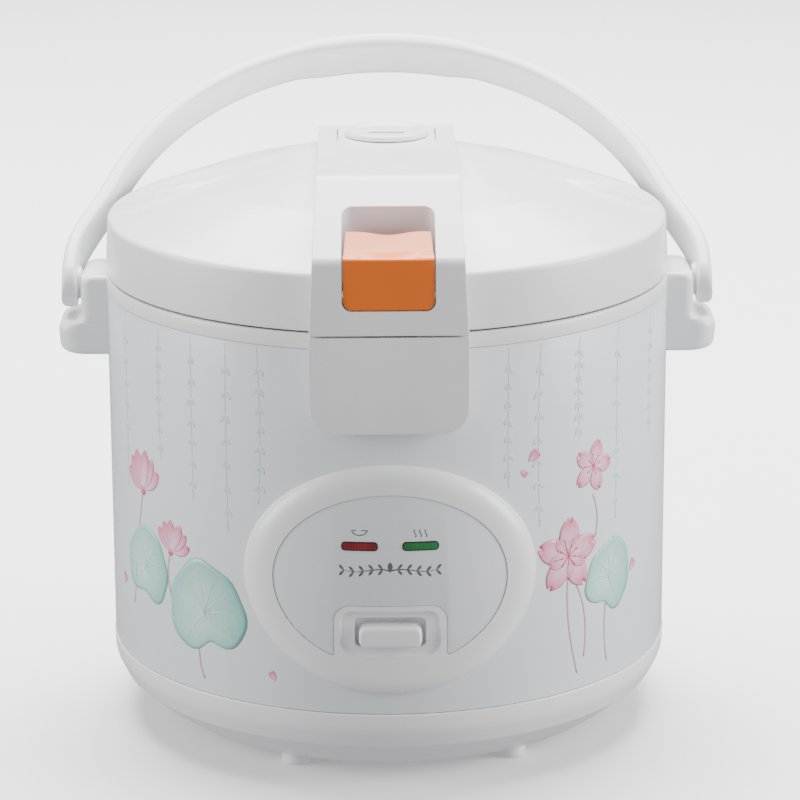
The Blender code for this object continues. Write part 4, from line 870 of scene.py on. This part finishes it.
def lid_skin():
    """Lid shell: crowned top, rim wall and underside, open at the bridge, the hinge and the vent."""
    segments = 240
    wall = 2.2 * MM
    radii = mm(8, 14, 20, 30, 40, 48, 55, 60, 65, 70, 75, 79, 82.6, 83.6, 84.4, 85.4,
               87, 90, 94, 99, 104, 109, 114, 117, 120, 122, 124, 126.2)
    turns = [2.0 * math.pi * k / segments for k in range(segments)]
    outer = [[on_drum(r, t, lid_height(r, t)) for t in turns] for r in radii]
    shoulder = lid_height(126.2 * MM, 0.0)
    wall_line = fillet([
        (126.2 * MM, shoulder, 0.0),
        (129.6 * MM, RIM_Z - 0.6 * MM, 2.6 * MM),
        (130.9 * MM, LID_BOTTOM_Z + 0.1 * MM, 1.1 * MM),
        (128.7 * MM, LID_BOTTOM_Z + 0.1 * MM, 0.4 * MM),
        (127.5 * MM, RIM_Z - 3.0 * MM, 0.0),
    ], 7, closed=False)[1:]
    for r, z in wall_line:
        blend = ease((z - RIM_Z + 3.0 * MM) / (4.0 * MM))
        ring = []
        for t in turns:
            lift = (lid_height(126.2 * MM, t) - shoulder) * blend * max(0.0, (130.0 * MM - r) / (3.8 * MM))
            ring.append(on_drum(r, t, z + lift))
        outer.append(ring)
    inner = [[on_drum(r, t, lid_height(r, t) - wall) for t in turns]
             for r in (124 * MM, 110 * MM, 92 * MM, 84 * MM, 60 * MM, 30 * MM, 8 * MM)]
    rings = outer + inner
    points = [p for ring in rings for p in ring]
    faces = grid_faces(len(rings), segments)
    skin = make("lid_skin", points, faces, WHITE)
    rear = block("rear", mm(-32, 112, 205), mm(32, 150, 230))
    carve(skin, front_gap(), rear, vent_well())
    add(skin, "lid", "white_plastic", "lid_shell")


def bridge_side():
    """Side outline of the bridge: front face, edge, slope, plateau and the drop to the hinge."""
    front = BRIDGE_LOW[1]
    low = BRIDGE_LOW[2]
    top = BRIDGE_HIGH[2]
    return fillet([
        (front, low, 0.5 * MM),
        (front + 0.5 * MM, 245.9 * MM, 4.5 * MM),
        (-89.0 * MM, top - 0.3 * MM, 16.0 * MM),
        (22.0 * MM, top, 12.0 * MM),
        (75.0 * MM, top - 11.3 * MM, 60.0 * MM),
        (HINGE[1] - 11.0 * MM, HINGE[2] + 30.6 * MM, 20.0 * MM),
        (HINGE[1] + 0.6 * MM, HINGE[2] + 17.0 * MM, 6.0 * MM),
        (HINGE[1] + 1.4 * MM, 224.0 * MM, 2.0 * MM),
        mm(-80.0, 224.0, 2.0),
        (-84.0 * MM, low, 0.5 * MM),
    ], 10)


def bridge():
    """Bridge over the lid, with a well for the vent and a recess for the release button."""
    outline = bridge_side()
    bottom_half, top_half = BRIDGE_HIGH[0], 31.5 * MM
    low, top = BRIDGE_LOW[2], BRIDGE_HIGH[2]
    rings = []
    for side in (-1.0, 1.0):
        ring = []
        for y, z in outline:
            share = (z - low) / (top - low)
            ring.append((side * (bottom_half + (top_half - bottom_half) * share), y, z))
        rings.append(ring)
    piece = make("bridge_skin", rings[0] + rings[1], grid_faces(2, len(outline)), WHITE)
    bevel(piece, 3.0 * MM, 6, 62.0)
    recess = prism("recess", fillet([
        mm(-20.3, 223.7, 4.2), mm(20.3, 223.7, 4.2),
        mm(20.3, 300, 0.0), mm(-20.3, 300, 0.0)], 8), "Y", -150 * MM, -106 * MM, WHITE)
    corner = fillet([mm(-20.3, -150, 0.0), mm(20.3, -150, 0.0),
                     mm(20.3, -106, 5.0), mm(-20.3, -106, 5.0)], 8)
    combine(recess, "INTERSECT", prism("corner", corner, "Z", 200 * MM, 310 * MM, WHITE))
    under = block("under", (-20.3 * MM, BRIDGE_LOW[1] + 2.4 * MM, 205 * MM), mm(20.3, -106, 230))
    hollow = block("hollow", mm(-28, -100, 205), mm(28, 110, 247))
    lid_space = block("space", mm(-60, -98, 200), mm(60, 118, 236))
    slit = 0.3 * MM
    slits = [block("slit", (x - slit, *mm(-15, 271)), (x + slit, *mm(13, 280))) for x in mm(-22.6, 22.6)]
    carve(piece, recess, under, hollow, lid_space, vent_well(), *slits)
    add(piece, "lid", "white_plastic", "lid_bridge")


def vent_cap():
    """Round steam cap with a raised rim, a dished top and one slot, on a narrower neck."""
    low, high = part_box("steam_vent_cap")
    top = high[2]
    radius = high[0]
    profile = fillet([
        (0.0, top - 0.9 * MM, 0.0),
        (radius - 6.0 * MM, top - 0.9 * MM, 3.0 * MM),
        (radius - 4.2 * MM, top, 1.2 * MM),
        (radius - 1.6 * MM, top, 1.4 * MM),
        (radius, top - 2.3 * MM, 0.4 * MM),
        (16.7 * MM, top - 2.3 * MM, 0.0),
        (16.7 * MM, low[2], 0.6 * MM),
        (10.0 * MM, low[2], 0.4 * MM),
        (10.0 * MM, low[2] + 1.5 * MM, 0.4 * MM),
        (15.2 * MM, low[2] + 1.5 * MM, 1.0 * MM),
        (15.2 * MM, top - 3.3 * MM, 0.6 * MM),
        (0.0, top - 3.3 * MM, 0.0),
    ])
    cap = lathe("vent_cap_skin", profile, WHITE, segments=96)
    slot = prism("slot", fillet([mm(-8.5, -5.2, 1.2), mm(8.5, -5.2, 1.2),
                                 mm(8.5, -2.2, 1.2), mm(-8.5, -2.2, 1.2)], 5), "Z", 265 * MM, 290 * MM, WHITE)
    carve(cap, slot)
    add(cap, "vent_cap", "white_plastic", "steam_vent_cap")


def button():
    """Release button: an upright face with round lower corners and a dished thumb rest behind."""
    half = BUTTON_HIGH[0]
    front = BUTTON_LOW[1]
    low = BUTTON_LOW[2]
    side = fillet([
        (front, low, 0.8 * MM),
        (front, 246.7 * MM, 1.3 * MM),
        mm(-126.0, 248.3, 6.0),
        mm(-113.6, 255.2, 1.2),
        mm(-114.4, 250.0, 0.6),
        mm(-126.0, 243.0, 2.0),
        mm(-131.5, 240.0, 1.0),
        (-131.5 * MM, low, 0.4 * MM),
    ], 7)
    columns = 33
    rings = []
    for k in range(columns):
        x = -half + 2.0 * half * k / (columns - 1)
        share = x / half
        dish = 1.5 * MM * (0.5 + 0.5 * math.cos(math.pi * min(1.0, abs(share) / 0.72)))
        crown = 0.5 * MM * share ** 2
        ring = []
        for y, z in side:
            depth = ease((y + 136.0 * MM) / (20.0 * MM)) if z > 241 * MM else 0.0
            bow = crown if y < front + 1.0 * MM else 0.0
            ring.append((x, y + bow, z - dish * depth))
        rings.append(ring)
    orange = MATERIALS["orange"]
    points = [p for ring in rings for p in ring]
    piece = make("button_skin", points, grid_faces(columns, len(side)), orange)
    face = rounded_box(half - 0.05 * MM, low, 262 * MM, 4.4 * MM, 0.0)
    shape = prism("shape", face, "Y", -0.15, -0.10, orange)
    taper, rear = half - 1.3 * MM, -113.5 * MM
    corners = fillet([
        (-half, -150 * MM, 0.0), (half, -150 * MM, 0.0), (half, -134 * MM, 0.0), (taper, rear, 3.6 * MM),
        (-taper, rear, 3.6 * MM), (-half, -134 * MM, 0.0)], 6)
    plan = prism("plan", corners, "Z", 200 * MM, 270 * MM, orange)
    combine(piece, "INTERSECT", shape, plan)
    bevel(piece, 0.5 * MM, 3, 55.0)
    add(piece, "latch", "orange_plastic", "release_button")


# ==== inside =============================================================
def pot():
    """Spun pot with a rolled flange; the inside carries the coating and water marks."""
    radius = 108.0 * MM
    floor = POT_LOW[2]
    top = POT_HIGH[2]
    flange = POT_HIGH[0]
    wall = 1.5 * MM
    profile = fillet([
        (0.0, floor, 0.0),
        (radius, floor, 20.0 * MM),
        (radius, top - 1.5 * MM, 1.8 * MM),
        (flange, top - 1.5 * MM, 0.7 * MM),
        (flange, top, 0.7 * MM),
        (radius - wall + 0.6 * MM, top, 2.2 * MM),
        (radius - wall, floor + wall, 18.5 * MM),
        (0.0, floor + wall, 0.0),
    ], 10)
    vessel = lathe("pot_vessel", profile, MATERIALS["coating"], segments=128)
    vessel.data.materials.append(MATERIALS["cast"])
    for face in vessel.data.polygons:
        outward = face.center.x * face.normal.x + face.center.y * face.normal.y > 0.0
        if (outward and face.normal.z < 0.5) or face.center.z < floor + 0.5 * wall:
            face.material_index = 1
    add(vessel, "pot", "pot_coating", "inner_pot")
    marks = []
    inner = radius - wall - 0.12 * MM
    levels = 6
    for i in range(levels):
        z = floor + (26.0 + 11.0 * i) * MM
        long = 9.0 if i % 2 else 6.0
        for middle in (math.pi - 0.10, math.pi + 0.10):
            turns = [middle + (j - 3) * long * MM / (3.0 * 2.0 * inner) for j in range(7)]
            marks.append([[on_drum(inner, t, z + dz) for t in turns] for dz in mm(-0.35, 0.35)])
    points, faces = [], []
    for low_row, high_row in marks:
        base = len(points)
        points += low_row + high_row
        faces += [tuple(base + v for v in face) for face in grid_faces(2, 7, False, False)]
    lines = make_print("pot_level_marks", points, faces, [0.0] * len(points), MATERIALS["mark"])
    add(lines, "pot", "pot_coating")


def inner_tub():
    """Bright tub around the pot."""
    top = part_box("inner_liner")[1][2]
    profile = fillet([
        mm(19, 78, 0.2), mm(113, 78, 6), (113 * MM, top - 0.8 * MM, 1.0 * MM),
        (118 * MM, top - 0.8 * MM, 0.2 * MM), (118 * MM, top, 0.2 * MM), (112.2 * MM, top, 1.6 * MM),
        mm(112.2, 78.8, 5.2), mm(19, 78.8, 0.2)], 5)
    add(lathe("liner_tub", profile, MATERIALS["steel"], segments=128), BODY, "bright_steel", "inner_liner")


def lid_inside():
    """Moulded liner under the lid with its hinge knuckles, the pressed cover, the gasket and a black ring
    that paints shade into the seam.
    """
    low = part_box("lid_inner_liner")[0][2]
    ceiling = 226 * MM
    profile = fillet([
        (8.3 * MM, ceiling - 2 * MM, 0.3 * MM), (119 * MM, ceiling - 2 * MM, 2.0 * MM),
        (119 * MM, low, 1.0 * MM),
        (128.0 * MM, low, 0.8 * MM), (128.0 * MM, low + 2 * MM, 0.5 * MM), (121 * MM, low + 2 * MM, 2.0 * MM),
        (121 * MM, ceiling, 1.5 * MM), (8.3 * MM, ceiling, 0.3 * MM)], 5)
    liner = lathe("lid_liner_skin", profile, WHITE, segments=160)
    hook = block("hook", mm(-14, -140, 205), mm(14, -121.5, 220))
    carve(liner, hook)
    add(liner, "lid", "white_plastic", "lid_inner_liner")
    for side, tag in SIDES:
        arc = [(HINGE[1] + 5 * MM * math.cos(t), HINGE[2] + 5 * MM * math.sin(t))
               for t in (-0.5 * math.pi + math.pi * k / 14.0 for k in range(15))]
        outline = [(122 * MM, low + 0.5 * MM)] + arc + [(122 * MM, HINGE[2] + 3.4 * MM)]
        ends = sorted((side * 8.3 * MM, side * 24.7 * MM))
        knuckle = bevel(prism(f"lid_knuckle_{tag}", outline, "X", *ends, WHITE), 0.5 * MM, 2, 60.0)
        add(knuckle, "lid", "white_plastic", "lid_inner_liner")
    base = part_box("inner_cover")[0][2]
    sheet = 1.2 * MM
    line = [(9.8, 1.5, 0.3), (40.0, 1.5, 2.0), (46.0, 0.0, 2.0), (78.0, 0.0, 1.0),
            (80.0, 1.1, 1.0), (84.0, 1.1, 1.0), (86.0, 0.0, 1.0), (113.0, 0.0, 0.4)]
    under = [(r * MM, base + z * MM, soft * MM) for r, z, soft in line]
    over = [(r, z + sheet, soft) for r, z, soft in reversed(under)]
    cover = lathe("inner_cover_sheet", fillet(under + over, 4), MATERIALS["steel"], segments=128)
    holes = []
    for i in range(12):
        t = 2.0 * math.pi * i / 12
        outline = ellipse((62 * MM * math.sin(t), 62 * MM * math.cos(t)), 1.8 * MM, 1.8 * MM, 20)
        holes.append(prism("hole", outline, "Z", 210 * MM, 230 * MM, MATERIALS["steel"]))
    carve(cover, *holes)
    add(cover, "lid", "cast_aluminium", "inner_cover")
    gasket = fillet([
        (110.0, 218.7, 0.3), (110.5, 215.5, 1.0), (111.6, 211.4, 0.7), (113.9, 211.3, 0.7),
        (113.6, 215.0, 1.0), (117.0, 217.0, 1.0), (117.0, 222.0, 0.6), (110.0, 222.0, 0.6),
        (110.0, 220.5, 0.2), (113.3, 220.5, 0.2), (113.3, 218.7, 0.2)], 4)
    gasket = [(r * MM, z * MM) for r, z in gasket]
    # Black ring in the gap under the lid rim: painted shade that darkens the seam line between lid and
    # collar.
    shade_ring = lathe("seam_shade_ring", fillet([
        mm(127.6, 211.95, 0.2), mm(129.9, 211.95, 0.2),
        mm(129.9, 214.2, 0.2), mm(127.6, 214.2, 0.2)], 2), MATERIALS["black"], segments=160)
    carve(shade_ring, front_gap())
    add(shade_ring, "lid", "black_plastic")
    add(lathe("gasket_ring", gasket, MATERIALS["rubber"], segments=128), "lid", "silicone", "lid_gasket")


# ==== print on the sleeve ================================================
def make_print(name, points, faces, ink, mat):
    """A thin printed patch: the ink strength of each point is kept on the mesh."""
    mesh = bpy.data.meshes.new(name)
    mesh.from_pydata([tuple(p) for p in points], [], faces)
    tone = mesh.attributes.new("ink", "FLOAT", "POINT")
    for index, value in enumerate(ink):
        tone.data[index].value = value
    obj = link_new(name, mesh)
    mesh.materials.append(mat)
    mesh.shade_smooth()
    step = obj.modifiers.new("thickness", "SOLIDIFY")
    step.thickness = 0.04 * MM
    step.offset = 0.0
    graph = bpy.context.evaluated_depsgraph_get()
    obj.data = bpy.data.meshes.new_from_object(obj.evaluated_get(graph))
    obj.modifiers.clear()
    return obj


class Print:
    """Collects flat shapes, given along and up the drum's surface, and lays them on the sleeve."""

    def __init__(self, radius=SLEEVE_R):
        self.radius = radius
        self.points = []
        self.faces = []
        self.ink = []

    def lay(self, u, v, lift, ink):
        radius = self.radius + lift
        turn = u / self.radius
        self.points.append(on_drum(radius, turn, v))
        self.ink.append(ink)

    def grid(self, rows, lift):
        base = len(self.points)
        count = len(rows[0])
        for row in rows:
            for u, v, ink in row:
                self.lay(u, v, lift, ink)
        self.faces += [tuple(base + i for i in face) for face in grid_faces(len(rows), count, False, False)]

    def petal(self, at, turn, length, width, lift, pale=0.0, deep=1.0, notch=0.0, steps=9):
        """A petal from its base to its tip, paler at the base, with ink gathering at the edges."""
        rows = []
        for i in range(steps + 1):
            along = i / steps
            half = width * math.sin(math.pi * min(1.0, along * 0.93 + 0.05)) ** 0.75 * (0.62 + 0.38 * along)
            row = []
            for j in range(-4, 5):
                across = j / 4.0
                reach = length * along - notch * length * max(0.0, along - 0.7) * (1.0 - abs(across)) * 2.0
                u = reach * math.sin(turn) + half * across * math.cos(turn)
                v = reach * math.cos(turn) - half * across * math.sin(turn)
                edge = max(abs(across) ** 4, along ** 5)
                vein = 0.12 if j in (-2, 2) and 0.2 < along < 0.85 else 0.0
                ink = pale + (deep - pale) * (0.55 * along ** 1.4 + 0.45 * edge) + vein
                row.append((at[0] + u, at[1] + v, ink))
            rows.append(row)
        self.grid(rows, lift)

    def ribbon(self, line, width, lift, ink, taper=True):
        rows = []
        count = len(line)
        for i, (u, v) in enumerate(line):
            before = line[max(0, i - 1)]
            after = line[min(count - 1, i + 1)]
            along = Vector((after[0] - before[0], after[1] - before[1])).normalized()
            half = 0.5 * width * ((1.0 - 0.7 * i / (count - 1)) if taper else 1.0)
            aside = (along.y * half, along.x * half)
            rows.append([(u - aside[0], v + aside[1], ink), (u + aside[0], v - aside[1], ink)])
        self.grid(rows, lift)

    def done(self, name, mat, slot="sleeve_enamel"):
        obj = make_print(name, self.points, self.faces, self.ink, mat)
        return add(obj, BODY, slot)


def curve(points, steps=14):
    """A smooth line through three or four control points."""
    line = []
    degree = len(points) - 1
    for i in range(steps + 1):
        t = i / steps
        u = v = 0.0
        for k, (a, b) in enumerate(points):
            weight = math.comb(degree, k) * t ** k * (1.0 - t) ** (degree - k)
            u += weight * a
            v += weight * b
        line.append((u, v))
    return line


def blossom(art, detail, at, size, turn, petals=5):
    """An open five-petal blossom with a ring of stamens."""
    for i in range(petals):
        angle = turn + 2.0 * math.pi * i / petals
        art.petal(at, angle, size, 0.40 * size, (0.10 + 0.03 * (i % 2)) * MM, 0.05, 0.85, 0.22)
    for i in range(9):
        angle = turn + 2.0 * math.pi * (i + 0.5) / 9
        reach = size * (0.30 if i % 2 else 0.40)
        tip = (at[0] + reach * math.sin(angle), at[1] + reach * math.cos(angle))
        detail.ribbon(curve([at, tip], 4), 0.35 * MM, 0.20 * MM, 0.95, False)
        detail.petal((tip[0], tip[1]), angle, 0.9 * MM, 0.5 * MM, 0.22 * MM, 1.0, 1.0, 0.0, 3)


def side_blossom(art, detail, at, size, turn):
    """A half-open blossom seen from the side: a fan of petals over a small cup."""
    spread = (-1.05, 1.05, -0.62, 0.62, -0.25, 0.25)
    for i, lean in enumerate(spread):
        length = size * (0.86 + 0.025 * i)
        lift = (0.10 + 0.025 * i) * MM
        art.petal(at, turn + lean, length, 0.26 * size, lift, 0.0 if i % 2 else 0.15, 0.9)
    detail.petal(at, turn + math.pi, 0.16 * size, 0.13 * size, 0.27 * MM, 0.8, 1.0, 0.0, 4)


def bud(art, at, size, turn):
    for lean in (-0.28, 0.28, 0.0):
        art.petal(at, turn + lean, size, 0.27 * size, (0.12 + 0.02 * (lean == 0.0)) * MM, 0.2, 1.0)


def broad_leaf(art, veins, at, size, turn, squash=0.85, tone=0.0):
    """A broad heart-shaped leaf with a mid vein and curved side veins."""
    rings = []
    around = 40
    for share in (0.03, 0.25, 0.5, 0.75, 0.9, 1.0):
        ring = []
        for k in range(around):
            phi = 2.0 * math.pi * k / around
            lobe = 1.0 - 0.42 * max(0.0, math.cos(phi - math.pi)) ** 6 + 0.12 * max(0.0, math.cos(phi)) ** 8
            wave = 1.0 + 0.025 * math.sin(7.0 * phi + size * 900.0)
            reach = size * share * lobe * wave
            a, b = reach * math.sin(phi) * squash, reach * math.cos(phi)
            u = a * math.cos(turn) + b * math.sin(turn)
            v = -a * math.sin(turn) + b * math.cos(turn)
            ink = tone + 0.10 + 0.5 * share ** 3 + 0.2 * max(0.0, math.sin(phi))
            ring.append((at[0] + u, at[1] + v, ink))
        rings.append(ring)
    base = len(art.points)
    for ring in rings:
        for u, v, ink in ring:
            art.lay(u, v, 0.07 * MM, ink)
    art.faces += [tuple(base + i for i in face) for face in grid_faces(len(rings), around, True, False)]
    art.faces.append(tuple(base + k for k in range(around)))
    for i in range(9):
        phi = math.radians(-128 + 32 * i)
        tip_reach = size * (0.92 if i == 4 else 0.80)
        tip = (tip_reach * math.sin(phi) * squash, tip_reach * math.cos(phi))
        bend = (0.5 * tip[0] * 0.8, 0.5 * tip[1] + 0.12 * size)
        line = []
        for a, b in curve([(0.0, 0.0), bend, tip], 9):
            u = a * math.cos(turn) + b * math.sin(turn)
            v = -a * math.sin(turn) + b * math.cos(turn)
            line.append((at[0] + u, at[1] + v))
        veins.ribbon(line, 0.55 * MM, 0.14 * MM, 0.0)


def sleeve_print():
    """Garden flowers at both sides of the panel and faint hanging leaf strings behind them."""
    blooms, stamens, leaves, veins, stems, faint = (Print() for _ in range(6))
    dice = random.Random(7)
    side_blossom(blooms, stamens, mm(-134, 124), 19 * MM, -0.1)
    side_blossom(blooms, stamens, mm(-112, 100), 15 * MM, 0.25)
    blossom(blooms, stamens, mm(101, 141), 12.5 * MM, 0.3)
    blossom(blooms, stamens, mm(86, 102), 18 * MM, 0.05)
    blossom(blooms, stamens, mm(86, 102), 11.5 * MM, 0.68)
    bud(blooms, mm(64, 150), 6.5 * MM, 0.9)
    bud(blooms, mm(60, 146), 4.0 * MM, 2.2)
    bud(blooms, mm(-160, 71), 6.0 * MM, 0.4)
    bud(blooms, mm(131, 84), 6.0 * MM, 0.6)
    bud(blooms, mm(-53, 50), 4.5 * MM, -0.5)
    broad_leaf(leaves, veins, mm(-133, 86), 19 * MM, 0.15, 0.95)
    broad_leaf(leaves, veins, mm(-90, 75), 23 * MM, -0.2, 1.0, 0.05)
    broad_leaf(leaves, veins, mm(113, 85), 18 * MM, 0.4, 0.9)
    for line in (
        [(-134, 124), (-141, 100), (-146, 66)], [(-112, 100), (-117, 88), (-112, 78)],
        [(-92, 72), (-97, 55), (-91, 44)], [(101, 128), (106, 118), (103, 108)],
        [(86, 92), (84, 72), (92, 45)], [(88, 92), (100, 76), (96, 52)], [(112, 82), (108, 62), (112, 46)],
    ):
        stems.ribbon(curve([(a * MM, b * MM) for a, b in line]), 0.9 * MM, 0.06 * MM, 0.55, False)
    strings = (-118, -96, -76, -60, 54, 70, 92, 118, 150, -150, 185, 225, -185, -225,
               262, -262, 300, -300, 340, -340, 380, -380)
    for middle in strings:
        length = dice.uniform(46, 92)
        top = 203.0
        sway = dice.uniform(-3.0, 3.0)
        bend = mm(middle + sway, top - 0.5 * length)
        line = curve([mm(middle, top), bend, mm(middle, top - length)], 16)
        faint.ribbon(line, 0.45 * MM, 0.05 * MM, 0.75, False)
        for i in range(2, 16, 2):
            for side in (-1.0, 1.0):
                u, v = line[i]
                lean = math.pi + side * (0.5 + dice.uniform(-0.1, 0.25))
                reach = dice.uniform(3.2, 5.0) * MM
                faint.petal((u, v), lean, reach, 1.1 * MM, 0.06 * MM, 0.5, 0.95, 0.0, 5)
    blooms.done("print_blossoms", MATERIALS["blossom"])
    stamens.done("print_stamens", MATERIALS["blossom"])
    leaves.done("print_leaves", MATERIALS["leaf"])
    veins.done("print_veins", MATERIALS["leaf"])
    stems.done("print_stems", MATERIALS["stem"])
    faint.done("print_strings", MATERIALS["faint"])


def panel_print():
    """Plain marks on the film: a bowl and a steam curl over the lamps and a leafy sprig below."""
    marks = Print(PANEL_R - 0.33 * MM)
    line = 0.5 * MM
    for side in (-1.0, 1.0):
        middle = side * LAMP_X
        base = LAMP_Z + 4.2 * MM
        if side < 0.0:
            sides = ((-3.4, 3.0), (-2.6, 0.2), (2.6, 0.2), (3.4, 3.0))
            bowl = [(middle + a * MM, base + b * MM) for a, b in sides]
            marks.ribbon(curve(bowl, 10), line, 0.0, 0.8, False)
            rim = [(middle + a * MM, base + 3.1 * MM) for a in (-3.8, 3.8)]
            marks.ribbon(rim, line, 0.0, 0.8, False)
        else:
            for shift in (-2.4, 0.0, 2.4):
                wave = ((0.0, 0.0), (1.6, 1.2), (-1.6, 2.2), (0.0, 3.4))
                curl = [(middle + (shift + a) * MM, base + b * MM) for a, b in wave]
                marks.ribbon(curve(curl, 8), line, 0.0, 0.8, False)
    stem_z = 106.2 * MM
    for side in (-1.0, 1.0):
        sway = ((0.0, 0.0), (7, 2.6), (14, -2.6), (21.5, 0.6))
        stem = curve([(side * a * MM, stem_z + b * MM) for a, b in sway], 20)
        marks.ribbon(stem, 0.7 * MM, 0.0, 0.75, True)
        for i in (3, 7, 11, 15, 19):
            for tip in (-1.0, 1.0):
                angle = side * 0.5 * math.pi - side * tip * 0.85
                marks.petal(stem[i], angle, 3.3 * MM, 0.75 * MM, 0.0, 0.6, 0.9, 0.0, 6)
    marks.petal((0.0, stem_z - 0.6 * MM), 0.0, 4.6 * MM, 1.4 * MM, 0.0, 0.6, 0.9, 0.0, 8)
    marks.done("print_panel_marks", MATERIALS["mark"], "panel_film")


# ==== CAD nodes that keep their shape ====================================
def finish_nodes():
    """Gives every CAD piece that stays in view its own detailed material."""
    by_slot = {
        "white_plastic": "white", "sleeve_enamel": "sleeve", "orange_plastic": "orange", "panel_film": "film",
        "bright_steel": "steel", "cast_aluminium": "cast", "pot_coating": "coating", "silicone": "rubber",
        "black_plastic": "black", "magnet_metal": "magnet", "circuit_board": "board", "red_lens": "red",
        "green_lens": "green", "brass_pins": "brass",
    }
    for part in frame["record"]["subparts"]:
        obj = frame["nodes"][part["node"]]
        mat = MATERIALS[by_slot[part["material_slot"]]]
        if not obj.material_slots:
            obj.data.materials.append(mat)
        for slot in obj.material_slots:
            slot.material = mat


# ==== stage ==============================================================
def camera():
    cam = bpy.data.cameras.new("view")
    cam.lens = 158.4
    cam.sensor_width = 36.0
    cam.sensor_fit = "HORIZONTAL"
    cam.clip_start = 0.05
    cam.clip_end = 50.0
    obj = link_new("view", cam)
    swing = math.radians(0.5)
    tilt = math.radians(15.78)
    roll = math.radians(-0.25)
    place = Matrix.Translation((0.0058, -1.600, 0.598)) @ Matrix.Rotation(0.5 * math.pi - tilt, 4, "X")
    obj.matrix_world = Matrix.Rotation(-swing, 4, "Z") @ place @ Matrix.Rotation(roll, 4, "Z")
    bpy.context.scene.camera = obj


def area_light(name, place, target, size, power):
    light = bpy.data.lights.new(name, "AREA")
    light.energy = power
    light.size = size
    obj = link_new(name, light)
    obj.location = place
    obj.rotation_euler = (Vector(target) - Vector(place)).to_track_quat("-Z", "Y").to_euler()


def studio():
    size = 6.0
    corners = [(-size, -size, 0.0), (size, -size, 0.0), (size, size, 0.0), (-size, size, 0.0)]
    mesh = bpy.data.meshes.new("studio_floor")
    mesh.from_pydata(corners, [], [(0, 1, 2, 3)])
    floor = link_new("studio_floor", mesh)
    mesh.materials.append(floor_material())
    floor.visible_diffuse = False
    floor.visible_glossy = False
    world = bpy.data.worlds.new("studio_world")
    world.use_nodes = True
    world.node_tree.nodes["Background"].inputs["Color"].default_value = (0.97, 0.965, 1.0, 1.0)
    world.node_tree.nodes["Background"].inputs["Strength"].default_value = 0.57
    bpy.context.scene.world = world
    area_light("top", (0.0, 1.0, 2.3), (0.0, 0.1, 0.0), 2.2, 260.0)
    area_light("left", (-1.7, -0.3, 0.6), (0.0, 0.0, 0.15), 1.0, 30.0)
    area_light("right", (1.7, -0.3, 0.6), (0.0, 0.0, 0.15), 1.0, 46.0)


camera()
studio()
base_skin()
feet()
sleeve()
collar()
latch_block()
rear_cover()
inlet()
bezel()
film()
switch_bar()
carry_handle()
lid_skin()
bridge()
vent_cap()
button()
pot()
inner_tub()
lid_inside()
sleeve_print()
panel_print()
finish_nodes()
